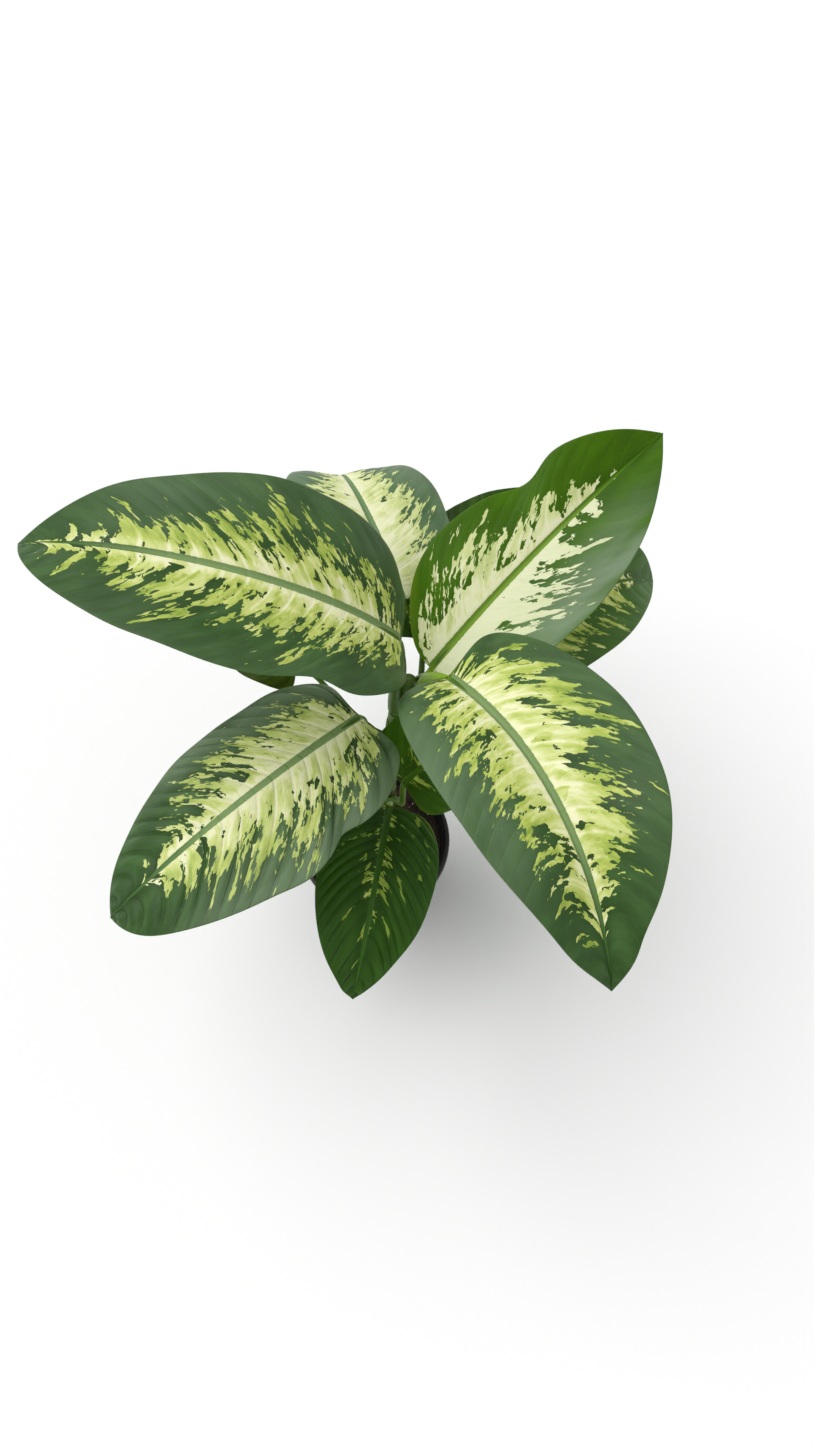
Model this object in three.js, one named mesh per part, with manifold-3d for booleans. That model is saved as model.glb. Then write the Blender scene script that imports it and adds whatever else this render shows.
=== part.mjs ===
// A dieffenbachia in a round nursery pot.
//
// The plant is one leaning cane with ten leaves, set in a pot of soil. Each leaf is one solid: a collar
// that clasps the cane, a stalk, a midrib and a thin waved blade. Millimetres, +Z up, with the origin in
// the middle of the pot's underside. Angles are degrees: a heading of 0 points along +X, 90 along +Y.

import * as THREE from 'three';
import { mergeVertices } from 'three/addons/utils/BufferGeometryUtils.js';
import Module from 'manifold-3d';

const wasm = await Module();
wasm.setup();

// ---------------------------------------------------------------- driving dimensions

const GAP = 0.35; // clearance between pieces that touch

const POT = {
  height: 140,
  footRadius: 61, // outside of the wall at the bottom
  shoulderRadius: 81, // outside of the wall under the rim
  shoulderHeight: 126,
  ledge: 2.4, // how far the neck under the rim stands out from the wall
  rimRadius: 88,
  rimDrop: 9, // height of the rolled rim
  rimWidth: 4.6, // across its top
  rimRound: 2.4, // rounding of its outer edge
  wall: 1.8,
  floor: 2.4,
  footBevel: 1.6,
  drainHoles: 8,
  drainRadius: 4,
  drainCircle: 46, // radius of the circle of drain holes
  drainSides: 12,
  segments: 36,
};

const SOIL = {
  height: 123, // at the wall
  crown: 4, // extra height round the cane
  bump: 1.6, // height of the crumbs
  segments: 32,
  rings: 7,
};

const COLORS = { pot: 0x1c1d1f, soil: 0x3a2a1e, cane: 0x6d7a3a };
const ROUGHNESS = { pot: 0.5, soil: 0.95, cane: 0.6, leaf: 0.45 };

// The cane's axis is one cubic curve through these handles.
const CANE = {
  handles: [[4, 8, 70], [10, 30, 160], [20, 76, 265], [39, 80, 364]],
  radiusLow: 12,
  radiusHigh: 9,
  tip: 12, // length of the pointed growing tip
  tipRings: [[0.5, 0.72], [0.85, 0.4], [1, 0.12]], // share of its length, share of the radius
  scars: [136, 192, 207, 222], // heights of the ring scars of leaves long gone
  scarRise: 1.0,
  scarDip: 0.2, // the groove above a scar
  scarHalf: 2.2,
  sides: 14,
  steps: 10,
};

const LEAF = {
  thickness: 1.0,
  rows: 15, // from the notch at the stalk to the tip
  columns: 3, // on each side of the midrib
  roundness: 0.9, // power of the sine arch that the width follows
  lobeReach: 0.45, // how much of the margin the lobes at the notch take
  tipPower: 8, // how late the drawn-out tip begins
  veinStart: 1.8, // the side veins leave the midrib closer together near the notch,
  veinSweep: 1.35, // and sweep towards the tip as they near the margin
  ripple: 2, // height of the wave that runs along every margin
  ripples: 3.5,
  rippleLag: 2.1, // radians by which the left margin's wave lags behind the right one's
  stalkRadius: 4.0, // where it meets a blade of the reference width
  referenceWidth: 165,
  widthShare: 0.7, // how much of a blade's width shows in its stalk
  stalkFlare: 3.2, // extra radius where it clasps the cane
  stalkSink: 1.0, // how deep its axis starts below the cane's skin
  ribSides: 6,
  stalkSteps: 8,
  ribSteps: 5,
  ribReach: 0.9, // how far along the blade the midrib stands out
  ribEnd: 0.8, // its radius there
  ribTaper: 0.6,
  ribSink: 0.65, // how far the midrib's axis lies below the blade, in radii
  collarHalf: 7,
  collarWall: 1.5,
  collarEdge: 0.7, // share of the collar's wall that is left at its two edges
};

// The leaves, youngest and highest first. 'node' is the height on the cane where the stalk starts, with
// the heading it leaves on, its lean away from the cane and the pull of its two handles as shares of its
// span; 'upright' is how much the stalk comes up from below into the blade. 'waves' are single dips
// (side, share of the margin, rise, reach, pinch): side +1 is on the right, seen along the midrib.
const LEAVES = [
  {
    name: 'leaf_young',
    node: { height: 354, heading: 31, lean: 29, pull: [0.36, 0.29], upright: 0.4 },
    base: [61, 76, 400],
    length: 307, width: 159, heading: 40, veer: 2, pitch: 37, droop: 31, roll: 2, twist: -29,
    fold: 18, cup: 9, lobes: { left: -0.02, right: 0.11 }, taper: 0.65, tip: 0.06, phase: 0,
    waves: [[-1, 0.58, -11, 0.05, 0.16], [-1, 0.55, -11, 0.11, 0.13], [1, 0.75, 0, 0.2, -0.05]],
    color: 0x6f9a2c,
  },
  {
    name: 'leaf_back',
    node: { height: 341, heading: 130, lean: 37, pull: [0.47, 0.25], upright: 0.5 },
    base: [34, 135, 426],
    length: 268, width: 145, heading: 115, veer: -10, pitch: 39, droop: 116, roll: -10, twist: 1,
    fold: 11, cup: 13, lobes: { left: 0.12, right: 0.12 }, taper: 0.77, tip: 0.04, phase: 2.1,
    waves: [[1, 0.5, 0, 0.2, -0.06]],
    color: 0x5c7a50,
  },
  {
    name: 'leaf_left',
    node: { height: 328, heading: 218, lean: 17, pull: [0.4, 0.29], upright: 0.6 },
    base: [32, 64, 468],
    length: 349, width: 187, heading: 187, veer: -26, pitch: 58, droop: 86, roll: 0, twist: 0,
    fold: 14, cup: 13, lobes: { left: 0.01, right: 0.09 }, taper: 0.83, tip: 0.03, phase: 0.8,
    waves: [[-1, 0.37, 10, 0.05, 0.08], [1, 0.13, -5, 0.07, 0], [1, 0.6, -4, 0.08, 0.08]],
    color: 0x4f7549,
  },
  {
    name: 'leaf_front_right',
    node: { height: 314, heading: -39, lean: 10, pull: [0.4, 0.35], upright: 0.2 },
    base: [73, 29, 463],
    length: 300, width: 165, heading: -50, veer: -30, pitch: 27, droop: 70, roll: 6, twist: -5,
    fold: 25, cup: 31, lobes: { left: 0.1, right: 0.05 }, taper: 0.82, tip: 0.04, phase: -2,
    waves: [[-1, 0.53, 11, 0.17, -0.06], [-1, 0.79, -2, 0.055, 0.1], [1, 0.82, 0, 0.07, -0.07]],
    color: 0x4f7549,
  },
  {
    name: 'leaf_back_low',
    node: { height: 298, heading: 33, lean: 42, pull: [0.43, 0.31], upright: 0.5 },
    base: [56, 141, 345],
    length: 211, width: 114, heading: 61, veer: -6, pitch: 34, droop: 45, roll: -3, twist: 2,
    fold: 10, cup: 17, lobes: { left: 0.12, right: 0.12 }, taper: 0.8, tip: 0.04, phase: -0.6,
    waves: [],
    color: 0x35591f,
  },
  {
    name: 'leaf_left_low',
    node: { height: 272, heading: 181, lean: 67, pull: [0.34, 0.36], upright: 0.2 },
    base: [-72, 116, 345],
    length: 118, width: 84, heading: 160, veer: -4, pitch: 24, droop: 40, roll: 4, twist: -4,
    fold: 8, cup: 18, lobes: { left: 0.13, right: 0.12 }, taper: 0.82, tip: 0.05, phase: -2,
    waves: [[-1, 0.7, 0, 0.25, 0.25]],
    color: 0x35591f,
  },
  {
    name: 'leaf_front_left',
    node: { height: 255, heading: -127, lean: 49, pull: [0.34, 0.29], upright: 0.8 },
    base: [-3, 18, 415],
    length: 284, width: 171, heading: 223, veer: -9, pitch: 15, droop: 50, roll: -11, twist: 5,
    fold: 0, cup: 15, lobes: { left: 0.065, right: 0.11 }, taper: 0.55, tip: 0.02, phase: 2.3,
    waves: [
      [-1, 0.38, -8, 0.03, 0.1], [-1, 0.3, 2, 0.06, -0.05], [-1, 0.46, 0, 0.06, -0.08],
      [1, 0.33, 5, 0.1, -0.04], [-1, 0.86, 0, 0.1, -0.08],
    ],
    color: 0x4f7549,
  },
  {
    name: 'leaf_right_low',
    node: { height: 239, heading: 18, lean: 39, pull: [0.37, 0.34], upright: 0.4 },
    base: [97, 107, 352],
    length: 275, width: 140, heading: 32, veer: -1, pitch: 28, droop: 73, roll: -31, twist: -4,
    fold: 21, cup: 13, lobes: { left: 0.12, right: 0.12 }, taper: 0.73, tip: 0.03, phase: 0.9,
    waves: [],
    color: 0x42662e,
  },
  {
    name: 'leaf_inner',
    node: { height: 178, heading: -62, lean: 40, pull: [0.3, 0.48], upright: 0.95 },
    base: [34, -16, 340],
    length: 130, width: 108, heading: 37, veer: 0, pitch: 24, droop: 62, roll: -13, twist: 2,
    fold: 18, cup: 12, lobes: { left: 0.14, right: 0.09 }, taper: 0.81, tip: 0.05, phase: -0.3,
    waves: [],
    color: 0x3a6414,
  },
  {
    name: 'leaf_front_low',
    node: { height: 151, heading: -81, lean: 30, pull: [0.35, 0.3], upright: 0.5 },
    base: [20, -17, 284],
    length: 198, width: 121, heading: -97, veer: -7, pitch: 20, droop: 61, roll: 20, twist: 3,
    fold: 10, cup: 15, lobes: { left: 0.06, right: 0.12 }, taper: 0.84, tip: 0.03, phase: -1.7,
    waves: [[1, 0.9, 0, 0.06, -0.2], [-1, 0.93, 0, 0.05, -0.1], [1, 0.72, 0, 0.14, -0.07]],
    color: 0x2c4f1d,
  },
];

// ---------------------------------------------------------------- small helpers

const { abs, sin, cos, min, max, exp, floor, PI } = Math;
const radians = (degrees) => THREE.MathUtils.degToRad(degrees);
const mix = THREE.MathUtils.lerp;
const vec = (x, y, z) => new THREE.Vector3(x, y, z);
const UP = vec(0, 0, 1);

function geometryOf(points, triangles) {
  const numbers = points.flatMap(({ x, y, z }) => [x, y, z]);
  const geometry = new THREE.BufferGeometry();
  geometry.setAttribute('position', new THREE.Float32BufferAttribute(numbers, 3));
  geometry.setIndex(triangles.flat());
  return geometry;
}

function solidOf(geometry) {
  const bare = geometry.clone();
  bare.deleteAttribute('normal');
  bare.deleteAttribute('uv');
  const merged = mergeVertices(bare, 1e-4);
  return new wasm.Manifold(new wasm.Mesh({
    numProp: 3,
    vertProperties: new Float32Array(merged.attributes.position.array),
    triVerts: new Uint32Array(merged.index.array),
  }));
}

function meshOf(name, solid, color, roughness) {
  const { vertProperties, triVerts } = solid.getMesh();
  const geometry = new THREE.BufferGeometry();
  geometry.setAttribute('position', new THREE.BufferAttribute(new Float32Array(vertProperties), 3));
  geometry.setIndex(new THREE.BufferAttribute(new Uint32Array(triVerts), 1));
  geometry.computeVertexNormals();
  const mesh = new THREE.Mesh(geometry, new THREE.MeshStandardMaterial({ color, roughness, metalness: 0 }));
  mesh.name = name;
  return mesh;
}

// The largest body of a solid: a cut can leave a loose crumb, which is dropped.
function mainBody(solid) {
  return solid.decompose().sort((a, b) => b.volume() - a.volume())[0];
}

// A closed tube along a list of points, with a radius for each: rings of 'sides' points, whose frame is
// carried from ring to ring without twisting, and a flat cap at each end.
function tube(path, radii, sides) {
  const points = [];
  const triangles = [];
  let across = vec(1, 0, 0);
  path.forEach((centre, i) => {
    const ahead = path[min(i + 1, path.length - 1)].clone().sub(path[max(i - 1, 0)]).normalize();
    across = across.clone().addScaledVector(ahead, -across.dot(ahead)).normalize();
    const other = ahead.clone().cross(across);
    for (let k = 0; k < sides; k += 1) {
      const angle = (2 * PI * k) / sides;
      points.push(centre.clone()
        .addScaledVector(across, radii[i] * cos(angle))
        .addScaledVector(other, radii[i] * sin(angle)));
    }
  });
  for (let i = 0; i < path.length - 1; i += 1) {
    for (let k = 0; k < sides; k += 1) {
      const a = i * sides + k;
      const b = i * sides + ((k + 1) % sides);
      triangles.push([a, b, b + sides], [a, b + sides, a + sides]);
    }
  }
  const first = points.push(path[0].clone()) - 1;
  const last = points.push(path[path.length - 1].clone()) - 1;
  const top = (path.length - 1) * sides;
  for (let k = 0; k < sides; k += 1) {
    const next = (k + 1) % sides;
    triangles.push([first, next, k], [last, top + k, top + next]);
  }
  return solidOf(geometryOf(points, triangles));
}

// ---------------------------------------------------------------- pot and soil

const outerRadius = (z) => mix(POT.footRadius, POT.shoulderRadius, z / POT.shoulderHeight);
const innerRadius = (z) => outerRadius(z) - POT.wall;

function pot() {
  const { height, shoulderHeight, ledge, rimRadius, rimDrop, rimWidth, rimRound, footBevel } = POT;
  const lip = height - rimDrop;
  const neck = outerRadius(shoulderHeight) + ledge;
  const inside = innerRadius(shoulderHeight);
  const profile = [
    [0, 0],
    [outerRadius(0) - footBevel, 0],
    [outerRadius(footBevel), footBevel],
    [outerRadius(shoulderHeight), shoulderHeight],
    [neck, shoulderHeight + ledge],
    [neck, lip],
    [rimRadius - rimRound / 4, lip],
    [rimRadius, height - rimRound],
    [rimRadius - rimRound / 3, height - rimRound / 4],
    [rimRadius - rimRound, height],
    [rimRadius - rimWidth, height - rimRound / 2],
    [inside + ledge / 2, shoulderHeight + ledge],
    [inside, shoulderHeight],
    [innerRadius(POT.floor + footBevel), POT.floor + footBevel],
    [innerRadius(POT.floor) - footBevel, POT.floor],
    [0, POT.floor],
  ].map(([x, y]) => new THREE.Vector2(x, y));
  const shell = new THREE.LatheGeometry(profile, POT.segments);
  shell.rotateX(PI / 2);
  let body = solidOf(shell);
  for (let k = 0; k < POT.drainHoles; k += 1) {
    const angle = (2 * PI * (k + 0.5)) / POT.drainHoles;
    const { drainRadius, drainCircle, drainSides } = POT;
    const drill = new THREE.CylinderGeometry(drainRadius, drainRadius, 4 * POT.floor, drainSides);
    drill.rotateX(PI / 2);
    drill.translate(drainCircle * cos(angle), drainCircle * sin(angle), 0);
    body = body.subtract(solidOf(drill));
  }
  return meshOf('pot', body, COLORS.pot, ROUGHNESS.pot);
}

// The crumbs of the soil: three slow waves added up, so it looks uneven without a draw of chance.
function crumbs(x, y) {
  const cross = sin(0.21 * x + 1.1) * cos(0.17 * y);
  return (cross + sin(0.13 * x - 0.24 * y) + sin(0.34 * y + 0.5)) / 3;
}

function soil() {
  const { segments, rings } = SOIL;
  const bottom = POT.floor + GAP;
  const bevel = bottom + POT.footBevel;
  const edge = innerRadius(SOIL.height) - GAP;
  const points = [vec(0, 0, SOIL.height + SOIL.crown)];
  const triangles = [];
  const addRing = (radius, heightAt) => {
    for (let k = 0; k < segments; k += 1) {
      const angle = (2 * PI * k) / segments;
      const [x, y] = [radius * cos(angle), radius * sin(angle)];
      points.push(vec(x, y, heightAt(x, y)));
    }
  };
  for (let i = 1; i <= rings; i += 1) {
    const share = i / rings;
    const crown = SOIL.height + SOIL.crown * (1 - share ** 2);
    addRing(edge * share, (x, y) => crown + SOIL.bump * crumbs(x, y) * (1 - share ** 6));
  }
  addRing(innerRadius(bevel) - GAP, () => bevel);
  addRing(innerRadius(bottom) - GAP - POT.footBevel, () => bottom);
  const under = points.push(vec(0, 0, bottom)) - 1;
  const lowest = rings + 2;
  const at = (ring, k) => 1 + (ring - 1) * segments + (k % segments);
  for (let k = 0; k < segments; k += 1) {
    triangles.push([0, at(1, k), at(1, k + 1)]);
    for (let ring = 1; ring < lowest; ring += 1) {
      const [a, b] = [at(ring, k), at(ring, k + 1)];
      const [c, d] = [at(ring + 1, k), at(ring + 1, k + 1)];
      triangles.push([a, c, d], [a, d, b]);
    }
    triangles.push([under, at(lowest, k + 1), at(lowest, k)]);
  }
  const body = solidOf(geometryOf(points, triangles)).subtract(cane(GAP));
  return meshOf('soil', mainBody(body), COLORS.soil, ROUGHNESS.soil);
}

// ---------------------------------------------------------------- cane

const caneCurve = new THREE.CubicBezierCurve3(...CANE.handles.map((p) => vec(...p)));
const caneFoot = CANE.handles[0][2];
const caneTop = CANE.handles[3][2];
const caneRadius = (z) => mix(CANE.radiusLow, CANE.radiusHigh, (z - caneFoot) / (caneTop - caneFoot));

// The point of the axis at a height, and its direction there, by halving the interval.
function caneAt(z) {
  let [low, high] = [0, 1];
  for (let i = 0; i < 30; i += 1) {
    const middle = (low + high) / 2;
    if (caneCurve.getPoint(middle).z < z) low = middle;
    else high = middle;
  }
  return { point: caneCurve.getPoint(low), ahead: caneCurve.getTangent(low) };
}

// The cane as a solid, wider by 'extra' all over, which is how its clearance is cut from its neighbours.
function cane(extra) {
  const rings = [];
  for (let i = 0; i <= CANE.steps; i += 1) {
    const z = mix(caneFoot - extra, caneTop, i / CANE.steps);
    rings.push({ z, radius: caneRadius(z) });
  }
  for (const z of CANE.scars) {
    rings.push({ z: z - CANE.scarHalf, radius: caneRadius(z) });
    rings.push({ z, radius: caneRadius(z) + CANE.scarRise });
    rings.push({ z: z + CANE.scarHalf, radius: caneRadius(z) - CANE.scarDip });
  }
  const nearScar = (z) => CANE.scars.some((scar) => abs(z - scar) < 2 * CANE.scarHalf);
  const kept = rings.filter(({ z }, i) => i > CANE.steps || !nearScar(z)).sort((a, b) => a.z - b.z);
  const path = kept.map(({ z }) => {
    const { point, ahead } = caneAt(z);
    return point.addScaledVector(ahead, (z - point.z) / ahead.z);
  });
  const radii = kept.map(({ radius }) => radius + extra);
  const { point, ahead } = caneAt(caneTop);
  for (const [reach, share] of CANE.tipRings) {
    path.push(point.clone().addScaledVector(ahead, reach * CANE.tip + extra));
    radii.push(caneRadius(caneTop) * share + extra);
  }
  return tube(path, radii, CANE.sides);
}

// ---------------------------------------------------------------- leaves

// The midrib's curve: its heading and pitch turn evenly from the base to the tip, summed in short steps.
function spineOf(leaf) {
  const steps = 48; // fine enough that their sum is a smooth curve
  const points = [vec(...leaf.base)];
  const direction = (s) => {
    const heading = radians(leaf.heading + leaf.veer * s);
    const pitch = radians(leaf.pitch - leaf.droop * s);
    return vec(cos(pitch) * cos(heading), cos(pitch) * sin(heading), sin(pitch));
  };
  for (let i = 0; i < steps; i += 1) {
    points.push(points[i].clone().addScaledVector(direction((i + 0.5) / steps), leaf.length / steps));
  }
  // Place, direction, rightward and upward at a share s of the length; below 0 the line runs on straight.
  return (s) => {
    const held = min(max(s, 0), 1);
    const ahead = direction(held);
    const heading = radians(leaf.heading + leaf.veer * held);
    const roll = radians(leaf.roll + leaf.twist * held);
    const flat = vec(sin(heading), -cos(heading), 0);
    const top = flat.clone().cross(ahead);
    const right = flat.clone().multiplyScalar(cos(roll)).addScaledVector(top, sin(roll));
    const up = top.clone().multiplyScalar(cos(roll)).addScaledVector(flat, -sin(roll));
    const i = min(floor(held * steps), steps - 1);
    const point = points[i].clone().lerp(points[i + 1], held * steps - i);
    point.addScaledVector(ahead, (s - held) * leaf.length);
    return { point, ahead, right, up };
  };
}

// The margin: how far along the midrib, in lengths, and how far out, in half widths, for v from 0 at the
// notch to 1 at the tip. The lobes reach back past the notch, and the width follows a skewed sine arch.
const arch = (v, taper) => max(sin(PI * v), 0) ** LEAF.roundness * (1 - taper * v * v);

function widestArch(taper) {
  let widest = 0;
  for (let i = 0; i <= 100; i += 1) widest = max(widest, arch(i / 100, taper));
  return widest;
}

function marginOf(leaf, side) {
  const lobe = side > 0 ? leaf.lobes.right : leaf.lobes.left;
  const widest = widestArch(leaf.taper);
  return (v) => {
    const back = lobe * sin(PI * min(1, v / LEAF.lobeReach)) ** 2;
    const along = ((1 - leaf.tip) * (1 - cos(PI * v))) / 2 + leaf.tip * v ** LEAF.tipPower - back;
    let out = arch(v, leaf.taper) / widest;
    for (const [waveSide, at, , reach, pinch] of leaf.waves) {
      if (waveSide === side) out *= 1 - pinch * exp(-(((v - at) / reach) ** 2));
    }
    return { along, out };
  };
}

// One half of the blade's middle surface. v picks a side vein and t runs along it, from the midrib to the
// margin. Each half rises from the midrib by the fold, bends down by the cup and carries the waves.
function halfBlade(leaf, spine, side) {
  const margin = marginOf(leaf, side);
  const phase = leaf.phase + (side > 0 ? 0 : LEAF.rippleLag);
  return (v, t) => {
    const { along, out } = margin(v);
    const start = v ** LEAF.veinStart;
    const s = start + (along - start) * t ** LEAF.veinSweep;
    const reach = out * t;
    const slope = radians(leaf.fold - (leaf.cup * reach) / 2);
    let rise = LEAF.ripple * sin(2 * PI * LEAF.ripples * v + phase);
    for (const [waveSide, at, height, span] of leaf.waves) {
      if (waveSide === side) rise += height * exp(-(((v - at) / span) ** 2));
    }
    const sideways = (leaf.width / 2) * reach * cos(slope);
    const upward = (leaf.width / 2) * reach * sin(slope) + rise * reach * reach;
    const { point, right, up } = spine(s);
    return point.addScaledVector(right, side * sideways).addScaledVector(up, upward);
  };
}

// The blade: its middle surface as a grid of points, from the left margin to the right one in every row,
// raised and lowered by half the thickness and walled along the margin.
function blade(leaf, spine) {
  const { rows, columns, thickness } = LEAF;
  const wide = 2 * columns + 1;
  const rightHalf = halfBlade(leaf, spine, 1);
  const leftHalf = halfBlade(leaf, spine, -1);
  const middle = [rightHalf(0, 0)];
  for (let row = 1; row < rows; row += 1) {
    for (let column = -columns; column <= columns; column += 1) {
      const half = column < 0 ? leftHalf : rightHalf;
      middle.push(half(row / rows, abs(column) / columns));
    }
  }
  const tip = middle.push(rightHalf(1, 0)) - 1;
  const at = (row, column) => 1 + (row - 1) * wide + column;
  const faces = [];
  for (let column = 0; column < wide - 1; column += 1) {
    faces.push([0, at(1, column + 1), at(1, column)]);
    faces.push([tip, at(rows - 1, column), at(rows - 1, column + 1)]);
    for (let row = 1; row < rows - 1; row += 1) {
      const [a, b] = [at(row, column), at(row, column + 1)];
      const [c, d] = [at(row + 1, column), at(row + 1, column + 1)];
      if (column < columns) faces.push([a, b, c], [b, d, c]);
      else faces.push([a, b, d], [a, d, c]);
    }
  }
  const sheet = geometryOf(middle, faces);
  sheet.computeVertexNormals();
  const { normal } = sheet.attributes;
  const normals = middle.map((_, i) => new THREE.Vector3().fromBufferAttribute(normal, i));
  const upper = middle.map((p, i) => p.clone().addScaledVector(normals[i], thickness / 2));
  const lower = middle.map((p, i) => p.clone().addScaledVector(normals[i], -thickness / 2));
  const count = middle.length;
  const flipped = faces.map(([a, b, c]) => [a + count, c + count, b + count]);
  const edge = [0];
  for (let row = 1; row < rows; row += 1) edge.push(at(row, 0));
  edge.push(tip);
  for (let row = rows - 1; row > 0; row -= 1) edge.push(at(row, wide - 1));
  const walls = edge.flatMap((a, i) => {
    const b = edge[(i + 1) % edge.length];
    return [[a, b, b + count], [a, b + count, a + count]];
  });
  return solidOf(geometryOf([...upper, ...lower], [...faces, ...flipped, ...walls]));
}

// The stalk's centre line: it leaves the cane at its node and comes up into the blade's base.
function stalkOf(leaf, spine) {
  const { height, heading, pull, upright } = leaf.node;
  const lean = radians(leaf.node.lean);
  const { point: centre, ahead: along } = caneAt(height);
  const outward = vec(cos(radians(heading)), sin(radians(heading)), 0);
  outward.addScaledVector(along, -outward.dot(along)).normalize();
  const start = centre.clone().addScaledVector(outward, caneRadius(height) - LEAF.stalkSink);
  const { point: base, ahead, up } = spine(0);
  const end = base.clone().addScaledVector(up, -LEAF.ribSink * bladeStalkRadius(leaf));
  const span = base.distanceTo(start);
  const leaving = along.clone().multiplyScalar(cos(lean)).addScaledVector(outward, sin(lean));
  const arriving = ahead.clone().multiplyScalar(1 - upright).addScaledVector(UP, upright).normalize();
  return new THREE.CubicBezierCurve3(
    start,
    start.clone().addScaledVector(leaving, pull[0] * span),
    end.clone().addScaledVector(arriving, -pull[1] * span),
    end,
  );
}

function bladeStalkRadius(leaf) {
  return LEAF.stalkRadius * mix(1, leaf.width / LEAF.referenceWidth, LEAF.widthShare);
}

// The stalk's rings, wider by 'extra' all over: it flares towards the cane.
function stalkRings(leaf, spine, extra) {
  const stalk = stalkOf(leaf, spine);
  const shares = Array.from({ length: LEAF.stalkSteps + 1 }, (_, i) => i / LEAF.stalkSteps);
  return {
    path: shares.map((share) => stalk.getPoint(share)),
    radii: shares.map((share) => bladeStalkRadius(leaf) + LEAF.stalkFlare * (1 - share) ** 3 + extra),
  };
}

// Stalk and midrib in one tapered tube. The midrib lies in the blade's underside.
function stalkAndRib(leaf, spine) {
  const { ribSteps, ribReach, ribEnd, ribTaper, ribSink, ribSides } = LEAF;
  const { path, radii } = stalkRings(leaf, spine, 0);
  for (let i = 1; i <= ribSteps; i += 1) {
    const share = i / ribSteps;
    const radius = mix(bladeStalkRadius(leaf), ribEnd, share ** ribTaper);
    const { point, up } = spine(ribReach * share);
    path.push(point.addScaledVector(up, -ribSink * radius));
    radii.push(radius);
  }
  return tube(path, radii, ribSides);
}

// The collar that clasps the cane, wider by 'extra' when it is used as a cutter.
function collar(leaf, extra) {
  const { collarHalf, collarWall, collarEdge } = LEAF;
  const heights = [-1, 0, 1].map((share) => leaf.node.height + share * (collarHalf + extra));
  const walls = [collarEdge, 1, collarEdge].map((share) => share * collarWall);
  const path = heights.map((z) => caneAt(z).point);
  const radii = heights.map((z, i) => caneRadius(z) + GAP + walls[i] + extra);
  return tube(path, radii, CANE.sides);
}

// What a younger leaf needs kept clear for its collar and its stalk. A tube's flat sides lie a little
// inside its radius, so the stalk's share is a little wider.
function clearanceOf(leaf, spine) {
  const { path, radii } = stalkRings(leaf, spine, 1.3 * GAP);
  return tube(path, radii, LEAF.ribSides).add(collar(leaf, GAP));
}

// Every leaf is cut clear of the cane and of the younger leaves before it.
function leaves() {
  let keepClear = cane(GAP);
  return LEAVES.map((leaf) => {
    const spine = spineOf(leaf);
    const whole = blade(leaf, spine).add(stalkAndRib(leaf, spine)).add(collar(leaf, 0));
    const solid = mainBody(whole.subtract(keepClear));
    keepClear = keepClear.add(clearanceOf(leaf, spine));
    return meshOf(leaf.name, solid, leaf.color, ROUGHNESS.leaf);
  });
}

// ---------------------------------------------------------------- the plant in its pot

const plant = new THREE.Group();
plant.add(pot(), soil(), meshOf('cane', cane(0), COLORS.cane, ROUGHNESS.cane), ...leaves());

export default plant;
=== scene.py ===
"""A dieffenbachia in its round nursery pot: the pot, the soil, the cane and ten variegated leaves.

Every piece is a surface worked out with numpy in millimetres and stored in metres. A leaf is the same
curved sheet as in the frame, with its side veins, midrib, stalk and sheath worked out more finely.
"""

import math
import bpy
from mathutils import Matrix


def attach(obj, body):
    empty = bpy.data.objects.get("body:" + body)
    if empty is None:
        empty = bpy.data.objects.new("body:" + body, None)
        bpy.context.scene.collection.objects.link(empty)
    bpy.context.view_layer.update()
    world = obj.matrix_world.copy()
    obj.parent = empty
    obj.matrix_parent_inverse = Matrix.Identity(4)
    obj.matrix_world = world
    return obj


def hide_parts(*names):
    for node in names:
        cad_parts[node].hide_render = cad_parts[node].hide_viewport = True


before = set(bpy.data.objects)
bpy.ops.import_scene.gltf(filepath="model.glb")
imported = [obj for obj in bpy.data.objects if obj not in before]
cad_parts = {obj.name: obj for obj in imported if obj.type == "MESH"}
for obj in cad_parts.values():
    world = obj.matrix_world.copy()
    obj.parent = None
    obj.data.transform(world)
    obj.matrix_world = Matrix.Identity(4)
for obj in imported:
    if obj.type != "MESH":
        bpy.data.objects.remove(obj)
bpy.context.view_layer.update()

from types import SimpleNamespace

import bpy
import numpy as np
from bpy.props import FloatProperty, FloatVectorProperty, IntProperty, PointerProperty

bl_info = {
    "name": "Potted Dieffenbachia",
    "version": (1, 0, 0),
    "blender": (4, 5, 0),
    "location": "View3D > Sidebar > Plant",
    "description": "Builds a variegated dieffenbachia in a nursery pot",
    "category": "Add Mesh",
}

ROOT = "root"
MM = 0.001

# ---- driving dimensions, in millimetres

GAP = 0.35

POT = SimpleNamespace(
    height=140, foot_radius=61, shoulder_radius=81, shoulder_height=126, ledge=2.4, rim_radius=88,
    rim_drop=9, rim_width=4.6, rim_round=2.4, under_round=0.8, lip_round=1.2, corner=0.3,
    ledge_corner=(0.4, 0.6), wall=1.8, floor=2.4, foot_bevel=1.6, groove=(16, 19), bead=(104, 108),
    mark=0.5, flat=30, drain_holes=8, drain_radius=4, drain_circle=46, drill_sides=24,
)
SOIL = SimpleNamespace(height=123, crown=4, bump=1.6, sides=120, rings=46, waist=60)
CANE = SimpleNamespace(
    handles=((4, 8, 70), (10, 30, 160), (20, 76, 265), (39, 80, 364)), rows=260,
    radius_low=12, radius_high=9, tip=12, tip_rows=14, brown_to=140, green_from=235,
    scars=(136, 164, 192, 207, 222), scar_rise=0.8, scar_half=1.6, scar_dip=0.35,
)
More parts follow.
